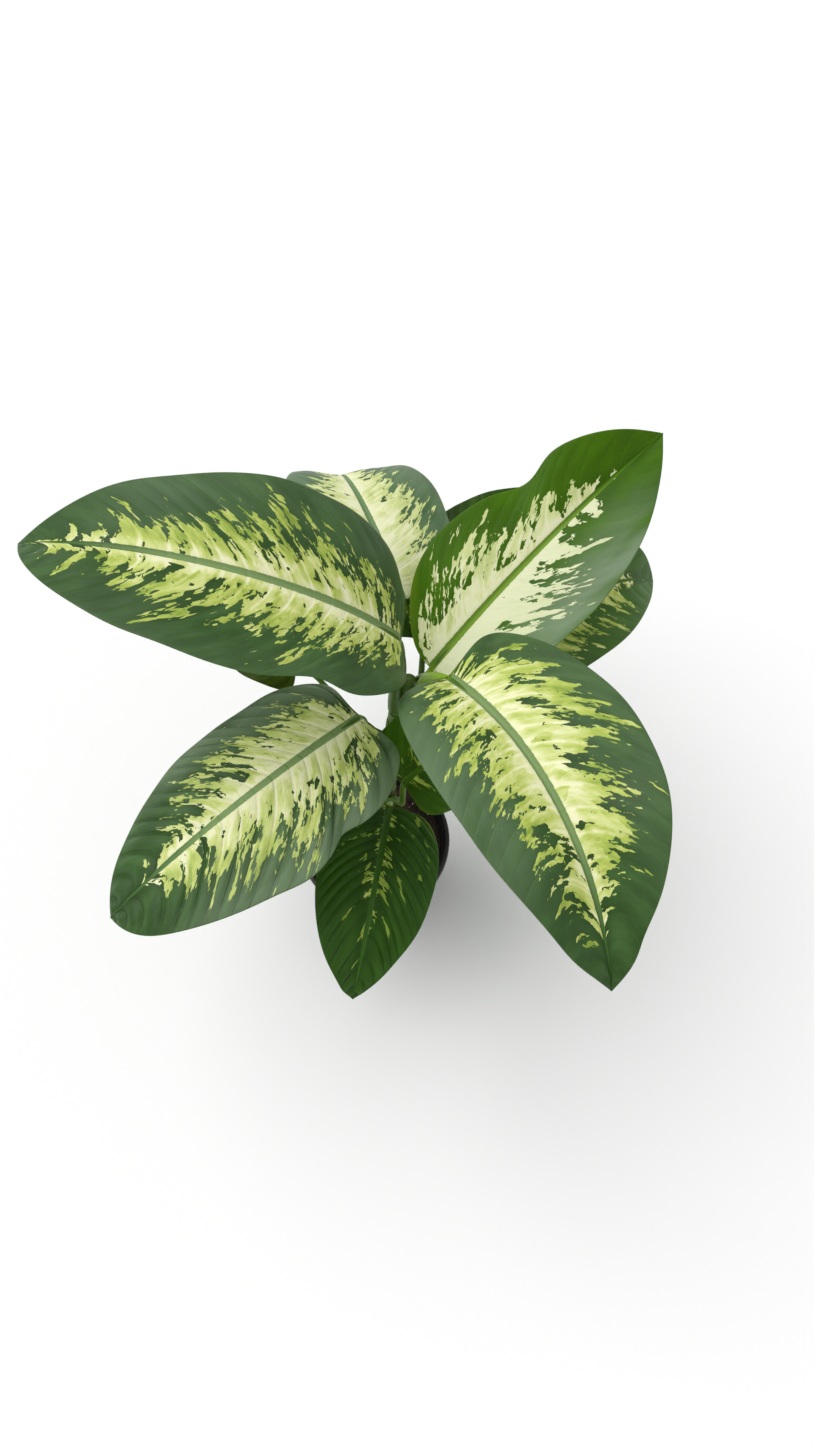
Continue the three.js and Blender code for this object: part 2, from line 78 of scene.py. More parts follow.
LEAF = SimpleNamespace(
    thickness=0.9, roundness=0.9, lobe_reach=0.45, tip_power=8, vein_start=1.8, vein_sweep=1.35,
    ripple=2, ripples=3.5, ripple_lag=2.1, swell=0.9, channel=0.3, keel=1.25, margin_round=0.06,
    stalk_radius=4.0, reference_width=165, width_share=0.7, stalk_flare=3.2, stalk_sink=1.0,
    stalk_rows=56, stalk_sides=28, rib_sink=0.65, rib_run=0.16, rib_end=0.35,
    collar_half=7, collar_wall=1.5, collar_sides=48, collar_points=14,
)

# The leaves, youngest and highest first. Place and form: node is where the stalk leaves the cane (height,
# heading, lean), pull and upright are how it bends, base is where the blade begins. The blade has its
# length and width, the turn of its heading and pitch, its roll, fold and cup, the lobes at the notch, and
# single waves (side, share of the length, rise, reach, pinch) in its margins. Looks: pale is how far the
# pale zone reaches from the midrib towards the margin, at KNOTS along the leaf, on the left and on the
# right. Torn is how ragged its edge is, grain how fine the tears are and lime how yellow-green it is.
# Sweep leans the side veins towards the tip and pleat is how deep they dip, and how much shade is painted
# in their creases. Painted sheen is how much whitish sheen is painted on the dark part towards the
# margins, milk how whitish the pale parts are, flecks how speckled the dark part is, fresh how
# yellow-green the stalk and the blade's base are, rib how wide the midrib is, and veins how many side
# veins there are. Sweep, painted sheen and milk have one value for the left and one for the right. What a
# leaf leaves out is as in PLAIN.
KNOTS = (0.0, 0.12, 0.3, 0.5, 0.7, 0.85, 1.0)
PLAIN = dict(waves=(), grain=1.0, sweep=(0, 0), bloom=(0, 0), milk=(0, 0), flecks=0.0, fresh=0, rib=0.86)
LEAVES = [
    dict(
        name="leaf_young", node=(354, 31, 29), pull=(0.36, 0.29), upright=0.4, base=(61, 76, 400),
        length=307, width=159, heading=40, veer=2, pitch=37, droop=31, roll=2, twist=-29,
        fold=18, cup=9, lobes=(-0.02, 0.11), taper=0.65, tip=0.06, phase=0,
        waves=((-1, 0.58, -11, 0.05, 0.16), (-1, 0.55, -11, 0.11, 0.13), (1, 0.75, 0, 0.2, -0.05)),
        slot="leaf_young", tone="young", torn=1.0, grain=0.62, lime=0.0, sweep=(-0.08, -0.08),
        pleat=0.4, bloom=(0, 0.95), milk=(0.35, 0.8), fresh=0.8, rib=0.9, veins=20,
        pale=((0.2, 0.6, 0.66, 0.6, 0.46, 0.16, -0.5), (0.2, 0.6, 0.7, 0.66, 0.42, -0.02, -0.5)),
    ),
    dict(
        name="leaf_back", node=(341, 130, 37), pull=(0.47, 0.25), upright=0.5, base=(34, 135, 426),
        length=268, width=145, heading=115, veer=-10, pitch=39, droop=116, roll=-10, twist=1,
        fold=11, cup=13, lobes=(0.12, 0.12), taper=0.77, tip=0.04, phase=2.1,
        waves=((1, 0.5, 0, 0.2, -0.06),),
        slot="leaf", tone="silver", torn=0.9, grain=0.9, lime=0.15, sweep=(0.03, 0.03),
        pleat=0.5, bloom=(0.4, 0.45), milk=(0.3, 0.3), fresh=0.2, veins=18,
        pale=((0.5, 0.66, 0.68, 0.66, 0.6, 0.46, 0.1), (0.5, 0.68, 0.7, 0.64, 0.56, 0.44, 0.1)),
    ),
    dict(
        name="leaf_left", node=(328, 218, 17), pull=(0.4, 0.29), upright=0.6, base=(32, 64, 468),
        length=349, width=187, heading=187, veer=-26, pitch=58, droop=86, roll=0, twist=0,
        fold=14, cup=13, lobes=(0.01, 0.09), taper=0.83, tip=0.03, phase=0.8,
        waves=((-1, 0.37, 10, 0.05, 0.08), (1, 0.13, -5, 0.07, 0), (1, 0.6, -4, 0.08, 0.08)),
        slot="leaf", tone="blue", torn=1.15, lime=0.3, sweep=(0.035, -0.02),
        pleat=0.7, bloom=(0.1, 0.2), fresh=0.2, rib=0.9, veins=21,
        pale=((0.2, 0.4, 0.56, 0.6, 0.58, 0.52, 0.26), (0.1, 0.28, 0.48, 0.56, 0.5, 0.36, 0.16)),
    ),
    dict(
        name="leaf_front_right", node=(314, -39, 10), pull=(0.4, 0.35), upright=0.2, base=(73, 29, 463),
        length=300, width=165, heading=-50, veer=-30, pitch=27, droop=70, roll=6, twist=-5,
        fold=25, cup=31, lobes=(0.1, 0.05), taper=0.82, tip=0.04, phase=-2,
        waves=((-1, 0.53, 11, 0.17, -0.06), (-1, 0.79, -2, 0.055, 0.1), (1, 0.82, 0, 0.07, -0.07)),
        slot="leaf", tone="blue", torn=1.2, lime=0.28, sweep=(0.01, 0.1),
        pleat=0.6, bloom=(0.2, 0.4), fresh=1.0, rib=1.05, veins=19,
        pale=((-0.15, 0.3, 0.64, 0.69, 0.66, 0.47, -0.35), (-0.05, 0.46, 0.62, 0.62, 0.6, 0.46, -0.35)),
    ),
    dict(
        name="leaf_back_low", node=(298, 33, 42), pull=(0.43, 0.31), upright=0.5, base=(56, 141, 345),
        length=211, width=114, heading=61, veer=-6, pitch=34, droop=45, roll=-3, twist=2,
        fold=10, cup=17, lobes=(0.12, 0.12), taper=0.8, tip=0.04, phase=-0.6,
        slot="leaf_shaded", tone="shaded", torn=1.1, lime=0.5, pleat=0.5, veins=17,
        pale=((0.1, 0.3, 0.4, 0.4, 0.3, 0.15, -0.1),) * 2,
    ),
    dict(
        name="leaf_left_low", node=(272, 181, 67), pull=(0.34, 0.36), upright=0.2, base=(-72, 116, 345),
        length=118, width=84, heading=160, veer=-4, pitch=24, droop=40, roll=4, twist=-4,
        fold=8, cup=18, lobes=(0.13, 0.12), taper=0.82, tip=0.05, phase=-2,
        waves=((-1, 0.7, 0, 0.25, 0.25),),
        slot="leaf_shaded", tone="olive", torn=1.1, lime=0.7, pleat=0.3, veins=15,
        pale=((0.1, 0.3, 0.45, 0.45, 0.3, 0.1, -0.2),) * 2,
    ),
    dict(
        name="leaf_front_left", node=(255, -127, 49), pull=(0.34, 0.29), upright=0.8, base=(-3, 18, 415),
        length=284, width=171, heading=223, veer=-9, pitch=15, droop=50, roll=-11, twist=5,
        fold=0, cup=15, lobes=(0.065, 0.11), taper=0.55, tip=0.02, phase=2.3,
        waves=((-1, 0.38, -8, 0.03, 0.1), (-1, 0.3, 2, 0.06, -0.05), (-1, 0.46, 0, 0.06, -0.08),
               (1, 0.33, 5, 0.1, -0.04), (-1, 0.86, 0, 0.1, -0.08)),
        slot="leaf", tone="blue", torn=1.15, lime=0.2, sweep=(0, -0.01),
        pleat=3.0, bloom=(0.5, 0.6), milk=(0.1, 0.1), fresh=0.3, veins=18,
        pale=((0.1, 0.5, 0.68, 0.68, 0.56, 0.24, -0.45), (0.1, 0.4, 0.62, 0.64, 0.52, 0.22, -0.45)),
    ),
    dict(
        name="leaf_right_low", node=(239, 18, 39), pull=(0.37, 0.34), upright=0.4, base=(97, 107, 352),
        length=275, width=140, heading=32, veer=-1, pitch=28, droop=73, roll=-31, twist=-4,
        fold=21, cup=13, lobes=(0.12, 0.12), taper=0.73, tip=0.03, phase=0.9,
        slot="leaf", tone="right", torn=1.1, grain=0.85, lime=0.25, pleat=0.5, bloom=(0.1, 0.1), veins=18,
        pale=((0.1, 0.4, 0.5, 0.5, 0.42, 0.2, -0.2), (0.1, 0.5, 0.68, 0.7, 0.6, 0.3, -0.2)),
    ),
    dict(
        name="leaf_inner", node=(178, -62, 40), pull=(0.3, 0.48), upright=0.95, base=(34, -16, 340),
        length=130, width=108, heading=37, veer=0, pitch=24, droop=62, roll=-13, twist=2,
        fold=18, cup=12, lobes=(0.14, 0.09), taper=0.81, tip=0.05, phase=-0.3,
        slot="leaf_shaded", tone="grass", torn=2.0, lime=0.7, pleat=0.3, fresh=0.2, veins=13,
        pale=((-0.3, -0.1, 0.02, 0.0, -0.1, -0.3, -0.3), (-0.3, -0.1, 0.06, 0.04, -0.1, -0.3, -0.3)),
    ),
    dict(
        name="leaf_front_low", node=(151, -81, 30), pull=(0.35, 0.3), upright=0.5, base=(20, -17, 284),
        length=198, width=121, heading=-97, veer=-7, pitch=20, droop=61, roll=20, twist=3,
        fold=10, cup=15, lobes=(0.06, 0.12), taper=0.84, tip=0.03, phase=-1.7,
        waves=((1, 0.9, 0, 0.06, -0.2), (-1, 0.93, 0, 0.05, -0.1), (1, 0.72, 0, 0.14, -0.07)),
        slot="leaf_shaded", tone="deep", torn=0.8, grain=0.75, lime=0.8, sweep=(-0.08, -0.08),
        pleat=2.0, flecks=0.12, fresh=0.7, rib=0.95, veins=16,
        pale=((-0.3, -0.17, -0.08, -0.07, -0.08, -0.12, -0.4),) * 2,
    ),
]

# Leaf greens (sRGB shares): the margin's ground on the left and on the right, its lighter veins and the
# midrib, then the shine of the skin.
TONES = {
    "blue": ((0.19, 0.315, 0.13), (0.205, 0.335, 0.15), (0.27, 0.41, 0.2), (0.55, 0.655, 0.42), 0.22),
    "silver": ((0.26, 0.375, 0.23), (0.28, 0.395, 0.255), (0.335, 0.46, 0.3), (0.45, 0.57, 0.37), 0.25),
    "young": ((0.25, 0.405, 0.0), (0.245, 0.4, 0.07), (0.285, 0.46, 0.0), (0.49, 0.62, 0.23), 0.14),
    "deep": ((0.185, 0.33, 0.075), (0.19, 0.34, 0.08), (0.235, 0.4, 0.105), (0.24, 0.4, 0.12), 0.16),
    "right": ((0.235, 0.385, 0.12), (0.25, 0.4, 0.135), (0.31, 0.475, 0.17), (0.36, 0.52, 0.24), 0.20),
    "shaded": ((0.15, 0.26, 0.035), (0.16, 0.27, 0.04), (0.21, 0.34, 0.055), (0.27, 0.4, 0.11), 0.16),
    "olive": ((0.19, 0.255, 0.02), (0.2, 0.265, 0.025), (0.27, 0.35, 0.04), (0.33, 0.4, 0.1), 0.16),
    "grass": ((0.215, 0.365, 0.02), (0.225, 0.375, 0.025), (0.285, 0.45, 0.05), (0.31, 0.46, 0.09), 0.14),
}
LIGHT_DEPTH = (1.0, 1.0, 0.35)  # how far red, green and blue light spread inside a leaf, as shares

ROWS = 200  # rows of the blade's grid, from the notch to the tip
RIB_COLUMNS = 5  # columns across half the midrib
BLADE_COLUMNS = 28  # columns from the midrib's edge to the margin


def colour(red, green, blue):
    """An opaque linear colour from sRGB shares."""
    linear = [c / 12.92 if c <= 0.04045 else ((c + 0.055) / 1.055) ** 2.4 for c in (red, green, blue)]
    return (*linear, 1.0)


# ---- settings shown in the sidebar


def tint(name, description, shade):
    """A colour shown in the sidebar, from linear shares."""
    return FloatVectorProperty(
        name=name, description=description, subtype="COLOR", size=4, default=(*shade[:3], 1.0))


class PotSettings(bpy.types.PropertyGroup):
    sides: IntProperty(name="Sides", description="Facets round the pot", default=160, min=24)
    plastic: tint("Plastic", "Colour of the pot", (0.012, 0.012, 0.013))
    roughness: FloatProperty(name="Roughness", description="Roughness of the plastic", default=0.42)


class SoilSettings(bpy.types.PropertyGroup):
    crumbs: IntProperty(name="Crumbs", description="Loose crumbs on the soil", default=900, min=0)
    crumb_size: FloatProperty(
        name="Crumb size", description="Size of a large crumb", default=4.2 * MM, unit="LENGTH")
    dark: tint("Wet soil", "Colour in the hollows", (0.010, 0.006, 0.004))
    light: tint("Dry soil", "Colour of the crumbs", (0.075, 0.040, 0.022))


class CaneSettings(bpy.types.PropertyGroup):
    sides: IntProperty(name="Sides", description="Facets round the cane", default=48, min=8)
    green: tint("Green", "Young skin", (0.062, 0.140, 0.016))
    brown: tint("Brown", "Old skin and scars", (0.070, 0.048, 0.022))


class LeafSettings(bpy.types.PropertyGroup):
    rib_width: FloatProperty(
        name="Midrib", description="Width of the midrib at its widest", default=9.8 * MM, unit="LENGTH")
    roughness: FloatProperty(name="Roughness", description="Roughness of the skin", default=0.44)
    translucence: FloatProperty(name="Translucence", description="Light let through", default=0.12)
    cream: tint("Cream", "Palest part of the middle", colour(0.95, 0.95, 0.78))
    straw: tint("Straw", "Between cream and lime", colour(0.85, 0.88, 0.58))
    lime: tint("Lime", "Edge of the pale middle", colour(0.73, 0.79, 0.38))
    leek: tint("Leek", "Greenest blotches", colour(0.56, 0.66, 0.26))


class StageSettings(bpy.types.PropertyGroup):
    floor_size: FloatProperty(name="Floor", description="Side of the floor", default=8.0, unit="LENGTH")
    floor_colour: tint("Floor colour", "Colour of the floor", (0.97, 0.97, 0.97))
    sky: FloatProperty(name="Sky", description="Strength of the even light", default=0.5)
    key: FloatProperty(name="Key", description="Strength of the soft lamp overhead", default=1.95)


class PlantSettings(bpy.types.PropertyGroup):
    pot: PointerProperty(type=PotSettings)
    soil: PointerProperty(type=SoilSettings)
    cane: PointerProperty(type=CaneSettings)
    leaf: PointerProperty(type=LeafSettings)
    stage: PointerProperty(type=StageSettings)


def settings():
    return bpy.context.scene.plant


# ---- materials


class Value:
    """One output socket. Arithmetic on it adds Math nodes to its material."""

    def __init__(self, finish, socket):
        self.finish = finish
        self.socket = socket

    def __add__(self, other):
        return self.finish.maths("ADD", self, other)

    def __sub__(self, other):
        return self.finish.maths("SUBTRACT", self, other)

    def __rsub__(self, other):
        return self.finish.maths("SUBTRACT", other, self)

    def __mul__(self, other):
        return self.finish.maths("MULTIPLY", self, other)

    __radd__ = __add__
    __rmul__ = __mul__


class Finish:
    """A material whose nodes are added one call at a time."""

    def __init__(self, name):
        self.material = bpy.data.materials.new(name)
        self.material.use_nodes = True
        self.tree = self.material.node_tree
        self.shader = self.tree.nodes["Principled BSDF"]

    def node(self, kind, inputs=(), output=0, **options):
        """Adds a node, sets its options, then its inputs, and returns one output."""
        node = self.tree.nodes.new(kind)
        for key, option in options.items():
            setattr(node, key, option)
        for key, term in dict(inputs).items():
            self.feed(node.inputs[key], term)
        return Value(self, node.outputs[output])

    def feed(self, socket, term):
        if isinstance(term, Value):
            self.tree.links.new(term.socket, socket)
        else:
            socket.default_value = term

    def surface(self, **inputs):
        """Feeds the shader's sockets: base_color stands for Base Color."""
        for name, term in inputs.items():
            self.feed(self.shader.inputs[name.replace("_", " ").title().replace("Ior", "IOR")], term)
        return self.material

    def maths(self, operation, *terms):
        return self.node("ShaderNodeMath", enumerate(terms), operation=operation)

    def axes(self, vector):
        split = self.node("ShaderNodeSeparateXYZ", {0: vector}).socket.node
        return [Value(self, split.outputs[i]) for i in range(3)]

    def attribute(self, name):
        """The three numbers of one of the mesh's attributes."""
        return self.axes(self.node("ShaderNodeAttribute", output="Vector", attribute_name=name))

    def place(self):
        return self.node("ShaderNodeTexCoord", output="Object")

    def point(self, x, y, z=0.0):
        return self.node("ShaderNodeCombineXYZ", {0: x, 1: y, 2: z})

    def noise(self, vector, scale, detail=2.0, rough=0.5):
        inputs = {"Vector": vector, "Scale": scale, "Detail": detail, "Roughness": rough}
        return self.node("ShaderNodeTexNoise", inputs)

    def grain(self, *sizes):
        return self.noise(self.place(), *sizes)

    def cells(self, vector, scale):
        """A random number for each cell of a Voronoi pattern."""
        return self.axes(self.node("ShaderNodeTexVoronoi", {"Vector": vector, "Scale": scale}, "Color"))[0]

    def step(self, value, low, high):
        """A smooth step from 0 at low to 1 at high."""
        inputs = {"Value": value, "From Min": low, "From Max": high}
        return self.node("ShaderNodeMapRange", inputs, interpolation_type="SMOOTHSTEP")

    def mix(self, share, first, second):
        return self.node("ShaderNodeMix", {0: share, 6: first, 7: second}, 2, data_type="RGBA")

    def ramp(self, share, *stops):
        """A colour read off a ramp whose stops are (place, colour)."""
        shade = self.node("ShaderNodeValToRGB", {0: share})
        elements = shade.socket.node.color_ramp.elements
        while len(elements) < len(stops):
            elements.new(1.0)
        for element, (place, stop) in zip(elements, stops):
            element.position = place
            element.color = stop
        return shade

    def bump(self, height, distance):
        return self.node("ShaderNodeBump", {"Height": height, "Distance": distance})


def blade_finish(leaf):
    """A blade's skin. The attribute 'vein' holds the side vein's number, the distance from the midrib in
    centimetres and how deep the point lies inside the pale zone; 'place' holds the distance from the
    midrib's middle in half midribs, the share of the way to the margin, and 1 on the underside. The
    zone's edge is torn along the veins: noise and cells, long along the veins, are added to the depth
    before it is cut off sharply at 0. Dark islands lie inside it and pale flecks outside, fewer the
    further they are from its edge.
    """
    s = settings().leaf
    f = Finish(leaf.name + "_skin")
    *tones, shine = TONES[leaf.tone]
    left_ground, right_ground, light_ground, rib_green = (colour(*tone) for tone in tones)
    red, green, blue = tones[0]
    deep_colour = colour(0.8 * red, 0.85 * green, 0.6 * blue)
    number, reach, depth = f.attribute("vein")
    ribs, share, under = f.attribute("place")
    right_half = f.step(reach, -0.2, 0.2)
    near_rib = f.step(reach * reach, 1.4, 0.0)
    seed = 7.0 * leaf.order

    def sided(pair):
        """The first of two numbers on the left half and the second on the right."""
        left, right = pair
        return right_half * (right - left) + left

    def along(low, high):
        """A smooth step between two shares of the leaf's length."""
        return f.step(number, leaf.veins * low, leaf.veins * high)

    def mottle(width, length, layer, detail=2.0):
        return f.noise(f.point(number * width, reach * length, seed + layer), 1.0, detail)

    across = number * (25 / leaf.veins * leaf.grain) + (mottle(0.8, 0.6, 0.0) - 0.5) * 0.55
    ragged = f.noise(f.point(across * 5.0, reach * 2.6, seed + 20.0), 1.0, 3.0) - 0.5

    def streaks(width, length, layer, detail=2.0):
        return f.noise(f.point(across * width, reach * length, seed + layer), 1.0, detail, 0.58) - 0.5

    def scraps(width, length, layer):
        spot = f.point(across * width + ragged * 0.9, reach * length + ragged * 0.5, seed + layer)
        return f.cells(spot, 1.0) - 0.5

    # The pale zone with its torn edge, the islands and the flecks.
    torn = streaks(1.1, 0.22, 1.0) * 2.3 + scraps(2.1, 0.7, 3.0) * 0.6 + scraps(5.2, 2.1, 4.0) * 0.28
    torn = torn + ragged * 0.2 - 0.04
    torn = f.maths("MINIMUM", torn, torn * 0.5)
    torn = f.maths("MAXIMUM", torn, -0.36)
    zone = f.step(depth + torn * leaf.torn, -0.008, 0.008)
    inward, outward = f.step(depth, 0.0, 0.5), f.step(depth, 0.02, -0.3 - leaf.flecks * 4.0)
    island = streaks(1.2, 0.6, 11.0) + scraps(2.6, 1.1, 13.0) * 0.14 - inward * 0.08 - near_rib * 0.06
    island = f.step(island, 0.12, 0.126)
    fleck = streaks(2.6 - 14 * leaf.flecks, 0.9 - 3 * leaf.flecks, 12.0) + scraps(4.0, 1.3, 14.0) * 0.16
    fleck = f.step(fleck - outward * (0.3 - leaf.flecks), 0.13 - leaf.flecks, 0.136 - leaf.flecks)
    pale = zone * (1.0 - island) + (1.0 - zone) * fleck

    # The colour of the pale parts, from cream to leek green, brighter over the creases.
    from_vein = f.maths("PINGPONG", number, 0.5)
    crease = f.step(from_vein, 0.14, 0.0) * along(0.98, 0.86)
    bright_crease = crease * f.step(share, 0.8, 0.15)
    blotch = streaks(1.2, 0.45, 5.0) * 1.4 + scraps(1.9, 0.6, 6.0) * 0.32 + scraps(4.5, 1.4, 7.0) * 0.16
    yellowing = blotch + f.step(depth + torn * 0.5, 0.6, 0.0) * 0.42 + leaf.lime
    yellowing = yellowing - bright_crease * (0.36 + 0.1 * leaf.pleat) - near_rib * 0.25
    pale_colour = f.ramp(yellowing, (0.0, s.cream), (0.32, s.straw), (0.66, s.lime), (1.0, s.leek))
    pale_colour = f.mix(sided(leaf.milk), pale_colour, colour(0.86, 0.88, 0.74))

    # The colour of the dark parts: dusty in places, with painted sheen in the dust patches on halves that
    # carry painted sheen, deeper in patches of painted shadow and near the midrib, and with painted shade
    # in the creases.
    # How much whitish sheen is painted on this half of the leaf.
    bloom = sided(leaf.bloom)
    drift = streaks(0.9, 0.35, 8.0, 3.0)
    ground = f.mix(right_half, left_ground, right_ground)
    dark_colour = f.mix(f.step(drift, -0.2, 0.2), ground, light_ground)
    dark_colour = f.mix(crease * f.step(drift, -0.3, 0.25) * 0.3, dark_colour, light_ground)
    # Grey dust patches: a little real dust everywhere, and painted sheen in them where the half carries
    # painted sheen.
    dust = f.step(f.grain(55.0, 5.0, 0.7), 0.5, 0.8)
    dark_colour = f.mix(dust * (bloom * 0.4 + 0.06), dark_colour, colour(0.36, 0.45, 0.32))
    shadow = f.step(f.grain(16.0, 3.0), 0.42, 0.7)
    # Painted shade in the creases: darker green beside each side vein, more where the pleats are deeper.
    painted_crease_shade = f.step(from_vein, 0.28, 0.0) * (0.15 * leaf.pleat)
    for deeper in (shadow * 0.5, f.step(share, 0.6, 0.2) * 0.6, painted_crease_shade):
        dark_colour = f.mix(deeper, dark_colour, deep_colour)
    skin = f.mix(pale, dark_colour, pale_colour)

    # The midrib, the painted sheen, the fresh base, the light margin and the paler underside.
    nibble = (mottle(5.0, 3.0, 9.0) - 0.5) * 0.45
    rib_shade = f.mix(mottle(0.6, 6.0, 0.0), light_ground, rib_green)
    rib_shade = f.mix(along(0.7, 0.95), f.mix(0.6, rib_shade, rib_green), light_ground)
    skin = f.mix(f.step(ribs + nibble, 1.08, 0.98), skin, rib_shade)
    # Painted sheen: whitish grey-green painted in patches on the dark part towards the margins, less
    # towards the tip, in place of a reflection.
    sheen_patches = f.step(mottle(0.22, 0.3, 30.0, 3.0), 0.2, 0.6)
    bloom = f.step(share, 0.25, 0.95) * along(0.95, 0.6) * sheen_patches * bloom
    skin = f.mix(bloom * (1.0 - pale), skin, colour(0.50, 0.58, 0.46))
    skin = f.mix(along(0.1, 0.0) * leaf.fresh * (1.0 - pale), skin, colour(0.42, 0.53, 0.10))
    skin = f.mix(f.step(share, 0.985, 1.0) * 0.5, skin, light_ground)
    skin = f.mix(under * 0.45, skin, colour(0.42, 0.53, 0.33))

    fine_vein = f.maths("PINGPONG", number * 5.0, 0.5)
    height = fine_vein * 0.4 + f.grain(900.0, 2.0) * 0.14 + f.grain(160.0, 3.0) * 0.5
    height = height - crease * f.step(drift, -0.25, 0.2) * leaf.pleat * 1.4
    return f.surface(
        base_color=skin,
        roughness=(f.grain(24.0, 3.0) - 0.5) * 0.2 + pale * 0.05 + under * 0.15 + s.roughness,
        specular_ior_level=shine,
        subsurface_weight=s.translucence,
        subsurface_radius=LIGHT_DEPTH,
        subsurface_scale=1.6 * MM,
        normal=f.bump(height, 0.22 * MM),
    )


def stalk_finish():
    """Stalk and sheath: smooth green with paler lengthwise flecks. 'vein' holds the angle round the
    stalk, the distance along it in centimetres and how fresh and yellow-green it is.
    """
    f = Finish("stalk_skin")
    turn, along, fresh = f.attribute("vein")
    fleck = f.step(f.noise(f.point(turn * 2.2, along * 1.1, 1.0), 1.0, 4.0, 0.6), 0.56, 0.68)
    green = f.mix(f.grain(30.0, 3.0), settings().cane.green, colour(0.28, 0.41, 0.08))
    green = f.mix(fresh, green, colour(0.50, 0.65, 0.10))
    return f.surface(
        base_color=f.mix(fleck * 0.25, green, colour(0.45, 0.56, 0.20)),
        roughness=0.42,
        specular_ior_level=0.3,
        subsurface_weight=0.08,
        subsurface_radius=LIGHT_DEPTH,
        subsurface_scale=2 * MM,
        normal=f.bump(f.noise(f.point(turn * 6.0, along * 0.8), 1.0, 2.0), 0.2 * MM),
    )


def cane_finish():
    """The cane's skin: green above, brown and corky low down and on the scars. 'vein' holds the angle
    round the cane, the height in centimetres and how old the skin is."""
    s = settings().cane
    f = Finish("cane_skin")
    turn, along, old = f.attribute("vein")
    streak = f.noise(f.point(turn * 3.0, along * 0.7, 3.0), 1.0, 4.0, 0.6)
    green = f.mix(streak, s.green, colour(0.36, 0.45, 0.15))
    brown = f.mix(f.grain(220.0, 3.0), s.brown, colour(0.45, 0.36, 0.22))
    share = f.step(old + (streak - 0.5) * 0.9, 0.35, 0.75)
    return f.surface(
        base_color=f.mix(share, green, brown), roughness=share * 0.3 + 0.45,
        normal=f.bump(streak * 0.6 + f.grain(400.0, 2.0) * 0.5, 0.35 * MM))


def soil_finish():
    """Potting mix: dark fibrous peat, lighter where it is dry."""
    s = settings().soil
    f = Finish("potting_mix")
    damp = f.grain(35.0, 4.0, 0.6)
    grit = f.grain(420.0, 4.0, 0.7)
    shade = f.step(damp * 0.5 + grit * 0.6, 0.42, 0.72)
    return f.surface(
        base_color=f.mix(shade, s.dark, s.light), roughness=0.92, normal=f.bump(grit, 1.2 * MM))


def crumb_finish():
    """Crumbs of peat and bark, with a few white grains of perlite: 'place' holds a number for each."""
    s = settings().soil
    f = Finish("crumbs")
    shade = f.attribute("place")[0]
    brown = f.mix(f.step(shade, 0.0, 0.85), s.dark, s.light)
    skin = f.mix(f.step(shade, 0.93, 0.94), brown, colour(0.86, 0.85, 0.80))
    grit = f.grain(900.0, 3.0, 0.7)
    return f.surface(
        base_color=f.mix(grit * 0.4, skin, s.dark), roughness=0.9, normal=f.bump(grit, 0.5 * MM))


def pot_finish():
    """Moulded black plastic: a fine matt texture, dusty water marks and a scuffed rim."""
    s = settings().pot
    f = Finish("pot_plastic")
    x, y, z = f.axes(f.place())
    marks = f.noise(f.point(x, y, z * 0.4), 22.0, 4.0, 0.65)
    dust = f.step(marks, 0.5, 0.78) * 0.55
    grain = f.grain(1500.0, 2.0)
    scuffs = f.noise(f.point(x, y, z * 9.0), 60.0, 4.0, 0.7)
    return f.surface(
        base_color=f.mix(dust, s.plastic, (0.05, 0.046, 0.04, 1.0)),
        roughness=s.roughness + dust * 0.3 + (scuffs - 0.5) * 0.15,
        normal=f.bump(grain * 0.35 + scuffs * 0.3, 0.12 * MM),
    )


# ---- mesh helpers


def full_turn(sides):
    """Evenly spaced angles round a full turn."""
    return np.arange(sides) * (2 * math.pi / sides)


def closed_tube(rings):
    """Points, quads and end triangles of a closed tube from an array of rings (ring, side, xyz), with a
    point in the middle of each end. Its outside is out when the rings turn left round the way they are
    strung on."""
    count, sides, _ = rings.shape
    points = np.concatenate([rings.reshape(-1, 3), rings[:1].mean(1), rings[-1:].mean(1)])
    k = np.arange(sides)
    after = (k + 1) % sides
    ring = np.arange(count - 1)[:, None] * sides
    quads = np.stack([ring + k, ring + after, ring + sides + after, ring + sides + k], -1).reshape(-1, 4)
    first, top = count * sides, (count - 1) * sides
    ends = np.concatenate([
        np.stack([np.full(sides, first), after, k], -1),
        np.stack([np.full(sides, first + 1), top + k, top + after], -1)])
    return points, quads, ends


def tube_values(angles, along, third, shift=0.0):
    """The attribute 'vein' of a closed tube: the angle from the first side's far side, then two numbers
    for each ring. It is 0 in the middle of each end."""
    sides = len(angles)
    turned = np.tile(np.abs(angles - math.pi), len(along)) + shift
    values = np.stack([turned, np.repeat(along, sides), np.repeat(third, sides)], -1)
    return np.concatenate([values, np.zeros((2, 3))])


def shell(points, quads, triangles=None, vein=None, place=None, skin=0):
    """One closed body of a piece, with its attributes (0 where none is given) and its material's place."""
    count = len(points)
    return SimpleNamespace(
        points=points, quads=quads, triangles=np.zeros((0, 3), int) if triangles is None else triangles,
        vein=np.zeros((count, 3)) if vein is None else vein,
        place=np.zeros((count, 3)) if place is None else place, skin=skin)


def mesh_from(name, shells):
    """One mesh in metres: the quads of all the shells, then their triangles."""
    offsets = np.cumsum([0] + [len(s.points) for s in shells])
    points = np.concatenate([s.points for s in shells]) * MM
    quads = np.concatenate([s.quads + o for s, o in zip(shells, offsets)])
    triangles = np.concatenate([s.triangles + o for s, o in zip(shells, offsets)])
    mesh = bpy.data.meshes.new(name)
    mesh.from_pydata(points.tolist(), [], quads.tolist() + triangles.tolist())
    return mesh


def add_object(name, data):
    made = bpy.data.objects.new(name, data)
    bpy.context.scene.collection.objects.link(made)
    return made


